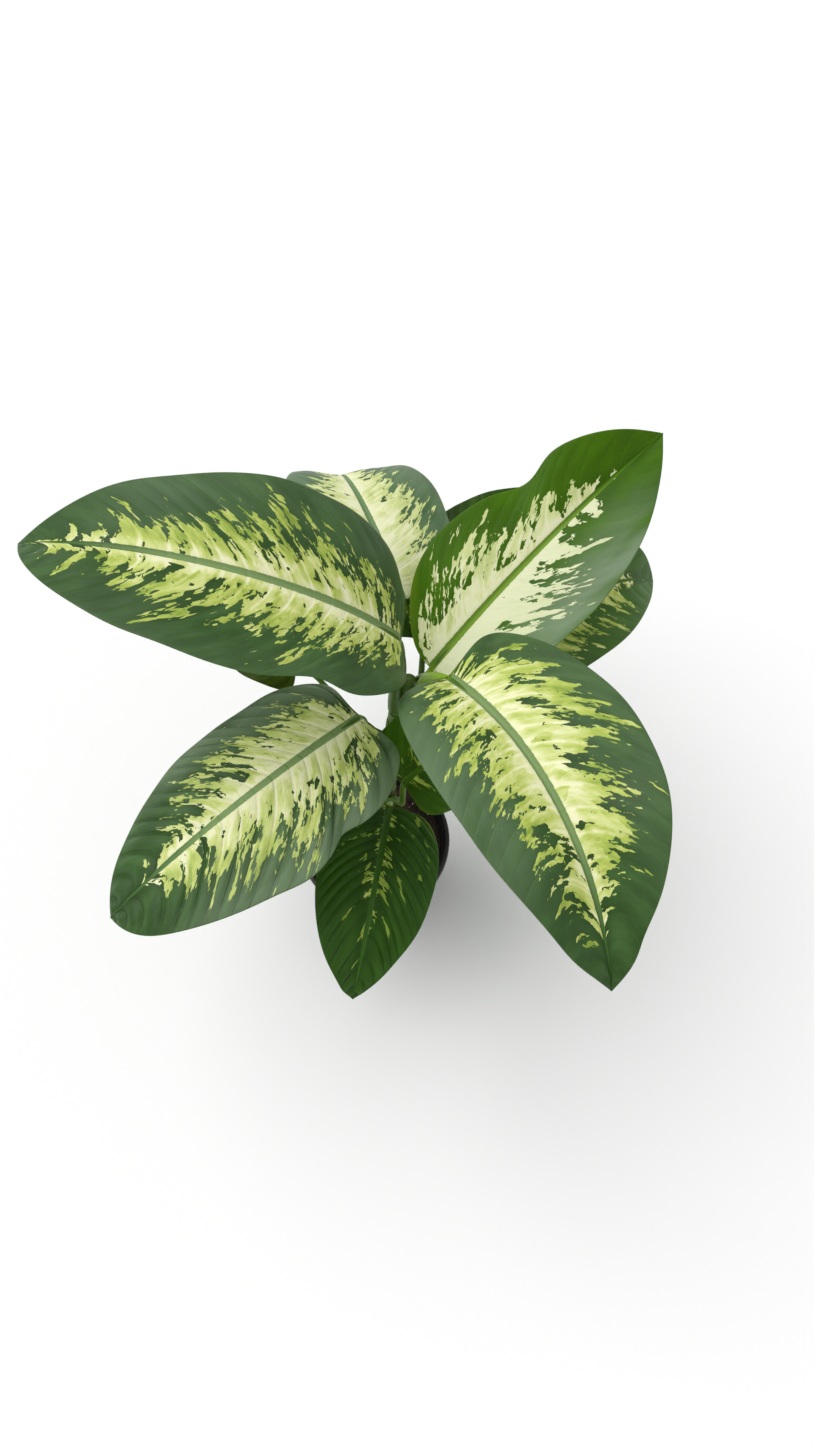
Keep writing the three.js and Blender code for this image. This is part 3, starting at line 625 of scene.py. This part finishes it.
def piece(name, shells, finishes, node):
    """Joins shells into one smooth mesh object that replaces a node of the frame."""
    mesh = mesh_from(name, shells)
    skins = np.concatenate([np.full(len(s.quads), s.skin) for s in shells]
                           + [np.full(len(s.triangles), s.skin) for s in shells])
    mesh.polygons.foreach_set("material_index", skins.astype(np.int32))
    mesh.polygons.foreach_set("use_smooth", np.ones(len(mesh.polygons), bool))
    for key in ("vein", "place"):
        values = np.concatenate([getattr(s, key) for s in shells]).astype(np.float32)
        mesh.attributes.new(key, "FLOAT_VECTOR", "POINT").data.foreach_set("vector", values.ravel())
    for finish in finishes:
        mesh.materials.append(finish)
    mesh.update()
    body = add_object(name, mesh)
    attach(body, ROOT)
    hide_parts(node)
    return body


def mix(first, second, share):
    return first + (second - first) * share


def smooth_step(x, low, high):
    t = np.clip((x - low) / (high - low), 0, 1)
    return t * t * (3 - 2 * t)


def unit(vectors):
    return vectors / np.linalg.norm(vectors, axis=-1, keepdims=True)


def cubic(handles, t):
    """A cubic Bezier curve at t: its points and its unit tangents."""
    a, b, c, d = (np.asarray(h, float) for h in handles)
    t = np.asarray(t, float)[..., None]
    points = a * (1 - t) ** 3 + 3 * b * t * (1 - t) ** 2 + 3 * c * t ** 2 * (1 - t) + d * t ** 3
    tangents = (b - a) * (1 - t) ** 2 + 2 * (c - b) * t * (1 - t) + (d - c) * t ** 2
    return points, unit(tangents)


def carried_rings(path, reach, angles, start):
    """Rings round a path: in each, a point at 'reach' for every angle from a vector across the path. That
    vector is carried from point to point without twisting: it is the last one with its part along the
    path taken out."""
    ahead = unit(np.gradient(path, axis=0))
    across = np.empty_like(path)
    last = np.asarray(start, float)
    for i, tangent in enumerate(ahead):
        last = last - tangent * (last @ tangent)
        last = last / np.linalg.norm(last)
        across[i] = last
    other = np.cross(ahead, across)
    return path[:, None] + reach[..., None] * (
        np.cos(angles)[None, :, None] * across[:, None] + np.sin(angles)[None, :, None] * other[:, None])


def waves(points, seed, size, count=6):
    """A smooth uneven field of about -1 to 1: plane waves about 'size' long in random directions."""
    random = np.random.default_rng(seed)
    total = np.zeros(points.shape[:-1])
    for _ in range(count):
        direction = unit(random.normal(size=points.shape[-1]))
        length = size * random.uniform(0.6, 1.6)
        total += np.sin(points @ direction * (2 * math.pi / length) + random.uniform(0, 2 * math.pi))
    return total / math.sqrt(count)


# ---- pot and soil


def outer_radius(z):
    return mix(POT.foot_radius, POT.shoulder_radius, z / POT.shoulder_height)


def inner_radius(z):
    return outer_radius(z) - POT.wall


def arc(centre, radius, start, end, steps=5):
    """Points (radius, height) on an arc, angles in degrees from the outward direction."""
    angles = np.radians(np.linspace(start, end, steps))
    return [(centre[0] + radius * math.cos(a), centre[1] + radius * math.sin(a)) for a in angles]


def wall_mark(low, high, out):
    """Four points of the section for a moulded ring between two heights, 'out' from the wall's face."""
    marks = ((low, 0), (low + 1, out), (high - 1, out), (high, 0))
    return [(outer_radius(z) + step, z) for z, step in marks]


def pot_profile():
    """The pot's section from the middle of its underside, up the outside, over the rolled rim and down
    the inside to the middle of its floor."""
    lip = POT.height - POT.rim_drop
    shoulder, top = POT.shoulder_height, POT.shoulder_height + POT.ledge
    neck = outer_radius(shoulder) + POT.ledge
    inside = inner_radius(shoulder)
    inset, sag = POT.ledge_corner
    bevel, round_, under, inner = POT.foot_bevel, POT.rim_round, POT.under_round, POT.lip_round
    return [
        (POT.flat, 0.0),
        *arc((outer_radius(bevel) - bevel, bevel), bevel, -90, 0),
        *wall_mark(*POT.groove, -POT.mark),
        *wall_mark(*POT.bead, POT.mark),
        (outer_radius(shoulder), shoulder),
        (neck - inset, top - sag),
        (neck, top),
        (neck, lip - POT.corner),
        (neck + POT.corner, lip),
        *arc((POT.rim_radius - under, lip + under), under, -90, 0, 4),
        *arc((POT.rim_radius - round_, POT.height - round_), round_, 0, 90, 7),
        *arc((POT.rim_radius - POT.rim_width + inner, POT.height - inner), inner, 90, 180, 4),
        (inside + POT.ledge / 2, top + 1),
        (inside + POT.ledge / 2, top),
        (inside, shoulder),
        (inner_radius(POT.floor + bevel), POT.floor + bevel),
        (inner_radius(POT.floor) - bevel, POT.floor),
        (POT.flat, POT.floor),
    ]


def lathe(profile, sides):
    """A profile of (radius, height) turned round the Z axis: rings of 'sides' points."""
    angles = full_turn(sides)
    radius, height = np.asarray(profile, float).T
    x = radius[:, None] * np.cos(angles)
    y = radius[:, None] * np.sin(angles)
    return np.stack([x, y, np.repeat(height[:, None], sides, 1)], -1)


def build_pot():
    """The pot with its drain holes, which cylinders cut out of its floor."""
    rings = lathe(pot_profile(), settings().pot.sides)
    body = piece("pot_body", [shell(*closed_tube(rings))], [pot_finish()], "pot")
    drill = lathe([(POT.drain_radius, -POT.floor), (POT.drain_radius, 2 * POT.floor)], POT.drill_sides)
    drills = []
    for k in range(POT.drain_holes):
        angle = 2 * math.pi * (k + 0.5) / POT.drain_holes
        middle = np.array([math.cos(angle), math.sin(angle), 0]) * POT.drain_circle
        drills.append(shell(*closed_tube(drill + middle)))
    cutter = add_object("drain_drill", mesh_from("drain_drill", drills))
    cut = body.modifiers.new("drain_holes", "BOOLEAN")
    cut.operation = "DIFFERENCE"
    cut.object = cutter
    with bpy.context.temp_override(object=body, active_object=body):
        bpy.ops.object.modifier_apply(modifier=cut.name)
    bpy.data.objects.remove(cutter)
    body.data.set_sharp_from_angle(angle=math.radians(35))


def soil_relief(x, y):
    """The same slow crumbly waves as the frame's soil, with finer ones on top."""
    slow = np.sin(0.21 * x + 1.1) * np.cos(0.17 * y) + np.sin(0.13 * x - 0.24 * y) + np.sin(0.34 * y + 0.5)
    flat = np.stack([x, y], -1)
    return SOIL.bump * slow / 3 + 0.7 * waves(flat, 4, 9) + 0.45 * waves(flat, 5, 4)


def soil_height(x, y):
    share = np.clip(np.hypot(x, y) / (inner_radius(SOIL.height) - GAP), 0, 1)
    return SOIL.height + SOIL.crown * (1 - share ** 2) + soil_relief(x, y) * (1 - share ** 6)


def build_soil():
    """The soil as one closed body: up the cane's hole, out over the top, down the pot's wall and back
    under. Each ring's centre moves from the cane's axis to the pot's as the rings widen."""
    angles = full_turn(SOIL.sides)
    circle = np.stack([np.cos(angles), np.sin(angles)], -1)

    def level(flat, z):
        return np.column_stack([flat, np.full(SOIL.sides, z)])

    rings = []
    for height in np.linspace(CANE.handles[0][2] - 2, SOIL.height, 6):
        centre, _ = cane_at(height)
        rings.append(level(centre[:2] + circle * (cane_radius(centre[2]) + GAP), centre[2]))
    middle = centre[:2]
    edge = inner_radius(SOIL.height) - GAP
    for share in np.linspace(0.02, 1, SOIL.rings):
        flat = middle * (1 - share) + circle * mix(CANE.radius_low + GAP, edge, share)
        rings.append(np.column_stack([flat, soil_height(flat[:, 0], flat[:, 1])]))
    bottom = POT.floor + GAP
    for z, inset in ((SOIL.waist, 0), (bottom + 2, 0), (bottom, 2)):
        rings.append(level(circle * (inner_radius(z) - GAP - inset), z))
    rings.append(level(circle * 20, bottom))
    body = shell(*closed_tube(np.array(rings)[::-1]))
    piece("soil_mix", [body, crumbs()], [soil_finish(), crumb_finish()], "soil")


def crumbs():
    """Loose crumbs on the soil: one small uneven body, repeated with its own place, size and turn."""
    s = settings().soil
    random = np.random.default_rng(11)
    count = s.crumbs
    base = lathe([(0.55, -0.75), (1.0, -0.15), (0.85, 0.5), (0.35, 0.85)], 6)
    points, quads, ends = closed_tube(base)
    each = len(points)
    points = points[None] * (1 + random.uniform(-0.28, 0.28, (count, each, 1)))
    size = s.crumb_size / MM / 2 * random.uniform(0.25, 1.0, (count, 1, 1)) ** 1.5
    points = points * size * random.uniform(0.5, 1.3, (count, 1, 3))
    turns = unit(random.normal(size=(count, 3, 3)))
    first = turns[:, 0]
    second = unit(turns[:, 1] - first * (turns[:, 1] * first).sum(-1, keepdims=True))
    axes = np.stack([first, second, np.cross(first, second)], 1)
    points = np.einsum("nij,njk->nik", points, axes)
    angle = random.uniform(0, 2 * math.pi, count)
    spread = (inner_radius(SOIL.height) - 4) * np.sqrt(random.uniform(0.0, 1, count))
    x, y = spread * np.cos(angle), spread * np.sin(angle)
    centre = np.stack([x, y, soil_height(x, y) + 0.2 * size[:, 0, 0]], -1)
    points = (points + centre[:, None]).reshape(-1, 3)
    steps = np.arange(count)[:, None, None] * each
    place = np.zeros((len(points), 3))
    place[:, 0] = np.repeat(random.uniform(0, 1, count), each)
    return shell(points, (quads[None] + steps).reshape(-1, 4), (ends[None] + steps).reshape(-1, 3),
                 place=place, skin=1)


# ---- cane


def cane_radius(z):
    low, high = CANE.handles[0][2], CANE.handles[3][2]
    return mix(CANE.radius_low, CANE.radius_high, (z - low) / (high - low))


def cane_at(height):
    """The point of the cane's axis at a height and its direction there."""
    t = np.linspace(0, 1, 2001)
    points, _ = cubic(CANE.handles, t)
    return cubic(CANE.handles, np.interp(height, points[:, 2], t))


def build_cane():
    """The cane: a tube along its curve, a little uneven, with a raised ring scar where each old leaf sat,
    a dip above every scar and a pointed tip."""
    z = np.linspace(CANE.handles[0][2], CANE.handles[3][2], CANE.rows)
    radius = cane_radius(z)
    old = 1 - smooth_step(z, CANE.brown_to, CANE.green_from)
    for scar in CANE.scars:
        away = (z - scar) / CANE.scar_half
        radius = radius + CANE.scar_rise * np.exp(-away ** 2)
        radius = radius - CANE.scar_dip * np.exp(-((away - 2) / 1.2) ** 2)
        old = np.maximum(old, 0.9 * np.exp(-(away / 1.1) ** 2))
    path = np.array([cane_at(h)[0] for h in z])
    tip_share = np.sin(np.linspace(0, math.pi / 2, CANE.tip_rows))[1:]
    top, direction = cane_at(z[-1])
    path = np.concatenate([path, top + direction * CANE.tip * tip_share[:, None]])
    radius = np.concatenate([radius, CANE.radius_high * np.cos(np.arcsin(tip_share) * 0.985)])
    old = np.concatenate([old, np.zeros(len(tip_share))])
    angles = full_turn(settings().cane.sides)
    rings = carried_rings(path, radius[:, None], angles, (1, 0, 0))
    rings = rings + (waves(rings, 21, 26) * 0.25)[..., None] * unit(rings - path[:, None] + 1e-9)
    body = shell(*closed_tube(rings), vein=tube_values(angles, path[:, 2] / 10, old))
    piece("cane_stem", [body], [cane_finish()], "cane")


# ---- leaves


def spine_of(leaf):
    """The midrib's curve. Its heading and pitch turn evenly from base to tip, and it is their sum in
    short steps. The result gives, for shares s of the length, the place, the direction ahead, the
    rightward and the upward vector; below 0 the line runs on straight."""
    steps = 480

    def direction(s):
        heading = np.radians(leaf.heading + leaf.veer * s)
        pitch = np.radians(leaf.pitch - leaf.droop * s)
        level = np.cos(pitch)
        return np.stack([level * np.cos(heading), level * np.sin(heading), np.sin(pitch)], -1)

    middles = (np.arange(steps) + 0.5) / steps
    run = np.cumsum(direction(middles) * leaf.length / steps, 0)
    points = np.concatenate([[leaf.base], leaf.base + run])
    knots = np.linspace(0, 1, steps + 1)

    def at(s):
        s = np.asarray(s, float)
        held = np.clip(s, 0, 1)
        ahead = direction(held)
        heading = np.radians(leaf.heading + leaf.veer * held)
        roll = np.radians(leaf.roll + leaf.twist * held)[..., None]
        flat = np.stack([np.sin(heading), -np.cos(heading), np.zeros_like(heading)], -1)
        top = np.cross(flat, ahead)
        right = flat * np.cos(roll) + top * np.sin(roll)
        up = top * np.cos(roll) - flat * np.sin(roll)
        point = np.stack([np.interp(held, knots, points[:, i]) for i in range(3)], -1)
        return point + ahead * ((s - held) * leaf.length)[..., None], ahead, right, up

    return at


def arch(v, taper):
    return np.maximum(np.sin(math.pi * v), 0) ** LEAF.roundness * (1 - taper * v * v)


def margin_of(leaf, side, v):
    """The margin for v from 0 at the notch to 1 at the tip: how far along the midrib, in lengths, and
    how far out, in half widths. The lobes reach back past the notch; the width is a skewed sine arch."""
    lobe = leaf.lobes[0] if side < 0 else leaf.lobes[1]
    back = lobe * np.sin(math.pi * np.minimum(1, v / LEAF.lobe_reach)) ** 2
    along = (1 - leaf.tip) * (1 - np.cos(math.pi * v)) / 2 + leaf.tip * v ** LEAF.tip_power - back
    out = arch(v, leaf.taper) / arch(np.linspace(0, 1, 101), leaf.taper).max()
    for wave_side, at, _, reach, pinch in leaf.waves:
        if wave_side == side:
            out = out * (1 - pinch * np.exp(-((v - at) / reach) ** 2))
    return along, out


def half_sheet(leaf, spine, side, v, t):
    """One half of the blade's middle surface. v picks a side vein and t runs along it from the midrib
    to the margin. The half rises from the midrib by the fold, bends down by the cup and carries waves."""
    along, out = margin_of(leaf, side, v)
    start = v ** LEAF.vein_start
    s = start + (along - start) * t ** LEAF.vein_sweep
    reach = out * t
    slope = np.radians(leaf.fold - leaf.cup * reach / 2)
    lag = 0 if side > 0 else LEAF.ripple_lag
    rise = LEAF.ripple * np.sin(2 * math.pi * LEAF.ripples * v + leaf.phase + lag)
    for wave_side, at, height, span, _ in leaf.waves:
        if wave_side == side:
            rise = rise + height * np.exp(-((v - at) / span) ** 2)
    sideways = leaf.width / 2 * reach * np.cos(slope)
    upward = leaf.width / 2 * reach * np.sin(slope) + rise * reach ** 2
    point, _, right, up = spine(s)
    return point + side * right * sideways[..., None] + up * upward[..., None]


def pale_depth(leaf, side, v, t):
    """How deep a point lies inside the pale zone: the zone's reach at v, less t. The reach runs straight
    from knot to knot and is then evened out by a bell-shaped window."""
    fine, half_window = np.linspace(0, 1, 201), 12
    padded = np.pad(np.interp(fine, KNOTS, leaf.pale[0 if side < 0 else 1]), half_window, mode="edge")
    window = np.hanning(2 * half_window + 1)
    return np.interp(v, fine, np.convolve(padded, window / window.sum(), "valid")) - t


def rib_radius(leaf, v):
    """Half the midrib's width where the side vein v leaves it: it narrows slowly, then fast at the tip."""
    s = v ** LEAF.vein_start
    widest = settings().leaf.rib_width / MM / 2 * leaf.rib * mix(0.45, 1, leaf.width / LEAF.reference_width)
    return widest * (1 - 0.55 * s ** 0.85) * (1 - 0.86 * smooth_step(s, 0.68, 1.0))


def sheet_grid(leaf, spine, v):
    """The middle surface as a grid, from the left margin to the right one in every row, with the shares
    t, the sides and the distance from the midrib in half midribs."""
    across = []
    for side in (-1, 1):
        _, out = margin_of(leaf, side, v)
        half = leaf.width / 2 * np.maximum(out, 1e-6)
        edge = np.minimum(rib_radius(leaf, v) / half, 0.4)[:, None]
        inner = np.sin(np.linspace(0, math.pi / 2, RIB_COLUMNS + 1))[None] * edge
        outer = edge + (1 - edge) * (1 - (1 - np.linspace(0, 1, BLADE_COLUMNS + 1)[None, 1:]) ** 1.5)
        t = np.concatenate([inner, outer], 1)
        points = half_sheet(leaf, spine, side, np.repeat(v[:, None], t.shape[1], 1), t)
        across.append((t, points, t / edge))
    (left_t, left, left_rib), (right_t, right, right_rib) = across
    join = lambda a, b: np.concatenate([a[:, :0:-1], b], 1)
    sides = np.concatenate([-np.ones(left_t.shape[1] - 1), np.ones(right_t.shape[1])])
    return join(left, right), join(left_t, right_t), sides, join(left_rib, right_rib)


def blade(leaf, spine):
    """The blade as a closed shell. Its upper side is the middle surface raised by half the thickness,
    with a shallow channel over the midrib and pleats that dip at every side vein; its underside is
    lowered by as much, with the midrib's rounded keel. Both run together along the margin."""
    rows = np.arange(1, ROWS) / ROWS
    v = 0.7 * rows + 0.3 * (1 - np.cos(math.pi * rows)) / 2
    points, t, sides, rib = sheet_grid(leaf, spine, v)
    columns = points.shape[1]
    vv = np.repeat(v[:, None], columns, 1)
    normal = unit(np.cross(np.gradient(points, axis=0), np.gradient(points, axis=1)))
    _, _, _, up = spine(v ** LEAF.vein_start)
    normal = normal * np.sign((normal * up[:, None]).sum(-1))[..., None]

    spread = 0.6 * np.clip(vv - 0.52, -0.2, 0.25) + np.where(sides < 0, *leaf.sweep)[None]
    turning = t * spread * smooth_step(vv, 0, 0.3) * (1 - 0.4 * smooth_step(vv, 0.6, 1))
    turning = turning - 0.04 * t ** 4 * np.sin(math.pi * vv)
    wander = waves(np.stack([vv * 6, t * sides[None]], -1), 31 + leaf.order, 2.5)
    number = (vv + turning) * leaf.veins + 0.3 * wander
    bulge = np.abs(np.sin(math.pi * number)) ** 0.75 - 0.55
    window = smooth_step(rib, 1.0, 2.6) * (1 - smooth_step(t, 0.8, 1.0)) * smooth_step(vv, 0.02, 0.12)
    window = window * (1 - smooth_step(vv, 0.95, 1.0))
    relief = leaf.pleat * bulge * window * (0.6 + 0.8 * smooth_step(t, 0.3, 0.75))
    relief = relief + LEAF.swell * waves(points, 41 + leaf.order, 65) * smooth_step(t, 0.1, 0.6)
    inside = np.clip(rib, 0, 1)
    radius = rib_radius(leaf, v)[:, None]
    channel = -LEAF.channel * radius * (1 - inside ** 2) * smooth_step(vv, 0.0, 0.1)
    keel = LEAF.keel * radius * np.sqrt(1 - inside ** 2)
    near_margin = np.clip(t - (1 - LEAF.margin_round), 0, 1) / LEAF.margin_round
    half = LEAF.thickness / 2 * np.sqrt(np.clip(1 - near_margin ** 2, 0, 1))
    upper = points + normal * (relief + channel + half)[..., None]
    lower = points + normal * (relief - half - keel)[..., None]

    reach = leaf.width / 20 * t * sides[None] * margin_of(leaf, 1, v)[1][:, None]
    depth = np.where(sides[None] < 0, pale_depth(leaf, -1, vv, t), pale_depth(leaf, 1, vv, t))
    vein = np.stack([number, reach, depth], -1)
    place = np.stack([rib, t, np.zeros_like(t)], -1)

    def both(above, below):
        """Rows that run over the upper side and back under the lower one. They share the margins."""
        return np.concatenate([above, below[:, -2:0:-1]], 1)

    points, quads, ends = closed_tube(both(upper, lower))
    points[-2:] = spine(0.0)[0], spine(1.0)[0]
    vein = np.concatenate([both(vein, vein).reshape(-1, 3), [[0, 0, -1], [leaf.veins, 0, -1]]])
    place = np.concatenate([both(place, place + (0, 0, 1)).reshape(-1, 3), np.zeros((2, 3))])
    return shell(points, quads, ends, vein=vein, place=place)


def stalk(leaf, spine):
    """The stalk: a tube from the cane to the blade, flared and channelled on the cane's side where it
    clasps, which runs on under the midrib and thins out into its keel."""
    height, heading, lean = leaf.node
    heading, lean = math.radians(heading), math.radians(lean)
    centre, along = cane_at(height)
    outward = np.array([math.cos(heading), math.sin(heading), 0.0])
    outward = unit(outward - along * (outward @ along))
    start = centre + outward * (cane_radius(height) - LEAF.stalk_sink)
    base, ahead, _, up = spine(0.0)
    thick = LEAF.stalk_radius * mix(1, leaf.width / LEAF.reference_width, LEAF.width_share)
    end = base - up * (LEAF.rib_sink * thick)
    span = np.linalg.norm(base - start)
    leaving = along * math.cos(lean) + outward * math.sin(lean)
    arriving = unit(ahead * (1 - leaf.upright) + np.array([0, 0, leaf.upright]))
    handles = (start, start + leaving * leaf.pull[0] * span, end - arriving * leaf.pull[1] * span, end)
    t = np.linspace(0, 1, LEAF.stalk_rows)
    path, _ = cubic(handles, t)
    radius = thick + LEAF.stalk_flare * (1 - t) ** 3
    rib_s = np.linspace(0, LEAF.rib_run, 13)[1:]
    share = rib_s / LEAF.rib_run
    rib_point, _, _, rib_up = spine(rib_s)
    sink = LEAF.rib_sink * thick + share * LEAF.rib_end * thick
    path = np.concatenate([path, rib_point - rib_up * sink[:, None]])
    radius = np.concatenate([radius, mix(thick, LEAF.rib_end * thick, share)])
    for _ in range(6):
        path[1:-1] = path[1:-1] * 0.5 + (path[:-2] + path[2:]) * 0.25
    angles = full_turn(LEAF.stalk_sides)
    clasp = np.concatenate([(1 - t) ** 1.4, np.zeros(len(rib_s))])[:, None]
    groove = 1 - 0.35 * clasp * np.exp(-(np.minimum(angles, 2 * math.pi - angles) / 0.6) ** 2)[None]
    points, quads, ends = closed_tube(carried_rings(path, radius[:, None] * groove, angles, -outward))
    length = np.concatenate([[0], np.cumsum(np.linalg.norm(np.diff(path, axis=0), axis=1))])
    joint = length[LEAF.stalk_rows - 1]
    fresh = leaf.fresh * smooth_step(length, 0.3 * joint, 0.8 * joint)
    fresh = fresh * (1 - smooth_step(length, joint - 4, joint + 6))
    return shell(points, quads, ends, vein=tube_values(angles, length / 10, fresh, leaf.order * 3), skin=1)


def sheath(leaf):
    """The sheath that clasps the cane: a sleeve with a thin rounded edge, taller on the stalk's side."""
    height, heading, _ = leaf.node
    sides, around = LEAF.collar_sides, LEAF.collar_points
    angles = full_turn(sides)
    section = full_turn(around)
    lift = (0.5 + 0.5 * np.cos(angles - np.radians(heading))) ** 1.5
    low = height - LEAF.collar_half
    high = height + LEAF.collar_half * (0.55 + 0.5 * lift)
    wall = LEAF.collar_wall / 2
    z = low + (high - low)[:, None] * (0.5 + 0.5 * np.sin(section))[None]
    centre = np.array([cane_at(h)[0] for h in np.linspace(low, height + 8, 12)])
    bulge = np.sign(np.cos(section)) * np.abs(np.cos(section)) ** 0.5
    radius = cane_radius(z) + GAP + wall * (1 + bulge)[None]
    x = np.interp(z, centre[:, 2], centre[:, 0]) + radius * np.cos(angles)[:, None]
    y = np.interp(z, centre[:, 2], centre[:, 1]) + radius * np.sin(angles)[:, None]
    points = np.stack([x, y, z], -1).reshape(-1, 3)
    ring = np.arange(sides)[:, None] * around
    after = (np.arange(sides)[:, None] + 1) % sides * around
    k = np.arange(around)[None]
    step = (k + 1) % around
    quads = np.stack([ring + k, after + k, after + step, ring + step], -1).reshape(-1, 4)
    vein = np.stack([np.repeat(angles, around), z.ravel() / 10, np.zeros(z.size)], -1)
    return shell(points, quads, vein=vein, skin=1)


def leaf_from(table, order):
    """A leaf's numbers, with those of PLAIN where its table has none."""
    leaf = SimpleNamespace(**(PLAIN | table), order=order)
    leaf.base = np.array(leaf.base, float)
    return leaf


def build_leaf(table, order, stalk_skin):
    """One leaf as one piece: its blade with its own skin, its stalk and its sheath."""
    leaf = leaf_from(table, order)
    spine = spine_of(leaf)
    shells = [blade(leaf, spine), stalk(leaf, spine), sheath(leaf)]
    piece(leaf.name + "_grown", shells, [blade_finish(leaf), stalk_skin], leaf.name)


# ---- stage


CAMERA = SimpleNamespace(
    place=(0.038, -0.326, 1.074), down=63, sensor=36.0, picture_height=1448, focal_pixels=835)
LAMP = SimpleNamespace(place=(-0.8, 1.0, 2.6), turns=(-10, -26, 0), spread=60)


def build_stage():
    """A pale floor, even light from a white sky, one wide soft lamp overhead, and the camera, which looks
    down at the plant as its picture was taken: from in front and above, CAMERA.down degrees below the
    horizon."""
    s = settings().stage
    size = s.floor_size / 2
    mesh = bpy.data.meshes.new("floor")
    corners = [(-size, -size, 0), (size, -size, 0), (size, size, 0), (-size, size, 0)]
    mesh.from_pydata(corners, [], [(0, 1, 2, 3)])
    mesh.materials.append(Finish("floor_paint").surface(base_color=s.floor_colour, roughness=0.9))
    floor = add_object("floor", mesh)
    floor.location.z = -0.0005

    world = bpy.data.worlds.new("studio")
    world.use_nodes = True
    background = world.node_tree.nodes["Background"]
    background.inputs["Color"].default_value = (1.0, 1.0, 1.0, 1.0)
    background.inputs["Strength"].default_value = s.sky
    bpy.context.scene.world = world
    bpy.context.scene.view_settings.view_transform = "Standard"

    light = bpy.data.lights.new("softbox", "SUN")
    light.energy = s.key
    light.angle = math.radians(LAMP.spread)
    lamp = add_object("softbox", light)
    lamp.location = LAMP.place
    lamp.rotation_euler = [math.radians(angle) for angle in LAMP.turns]

    camera_data = bpy.data.cameras.new("camera")
    camera_data.sensor_width = CAMERA.sensor
    camera_data.lens = CAMERA.sensor * CAMERA.focal_pixels / CAMERA.picture_height
    camera = add_object("camera", camera_data)
    camera.location = CAMERA.place
    camera.rotation_euler = (math.radians(90 - CAMERA.down), 0, 0)
    bpy.context.scene.camera = camera


# ---- operators and panel


class PLANT_OT_stage(bpy.types.Operator):
    """Make the floor, the light and the camera"""
    bl_idname = "plant.stage"
    bl_label = "Stage"

    def execute(self, context):
        build_stage()
        return {"FINISHED"}


class PLANT_OT_pot(bpy.types.Operator):
    """Make the nursery pot"""
    bl_idname = "plant.pot"
    bl_label = "Pot"

    def execute(self, context):
        build_pot()
        return {"FINISHED"}


class PLANT_OT_soil(bpy.types.Operator):
    """Make the soil and its crumbs"""
    bl_idname = "plant.soil"
    bl_label = "Soil"

    def execute(self, context):
        build_soil()
        return {"FINISHED"}


class PLANT_OT_cane(bpy.types.Operator):
    """Make the cane"""
    bl_idname = "plant.cane"
    bl_label = "Cane"

    def execute(self, context):
        build_cane()
        return {"FINISHED"}


class PLANT_OT_leaves(bpy.types.Operator):
    """Make the ten leaves"""
    bl_idname = "plant.leaves"
    bl_label = "Leaves"

    def execute(self, context):
        stalk_skin = stalk_finish()
        for order, table in enumerate(LEAVES):
            build_leaf(table, order, stalk_skin)
        return {"FINISHED"}


class PLANT_PT_panel(bpy.types.Panel):
    """Lists the steps that build the plant"""
    bl_idname = "PLANT_PT_panel"
    bl_label = "Potted Dieffenbachia"
    bl_space_type = "VIEW_3D"
    bl_region_type = "UI"
    bl_category = "Plant"

    def draw(self, context):
        for name in ("stage", "pot", "soil", "cane", "leaves"):
            self.layout.operator("plant." + name)


CLASSES = (
    PotSettings, SoilSettings, CaneSettings, LeafSettings, StageSettings, PlantSettings,
    PLANT_OT_stage, PLANT_OT_pot, PLANT_OT_soil, PLANT_OT_cane, PLANT_OT_leaves, PLANT_PT_panel,
)


def register():
    for kind in CLASSES:
        bpy.utils.register_class(kind)
    bpy.types.Scene.plant = PointerProperty(type=PlantSettings)


def unregister():
    del bpy.types.Scene.plant
    for kind in reversed(CLASSES):
        bpy.utils.unregister_class(kind)


def main():
    register()
    bpy.ops.plant.stage()
    bpy.ops.plant.pot()
    bpy.ops.plant.soil()
    bpy.ops.plant.cane()
    bpy.ops.plant.leaves()


if __name__ == "__main__":
    main()
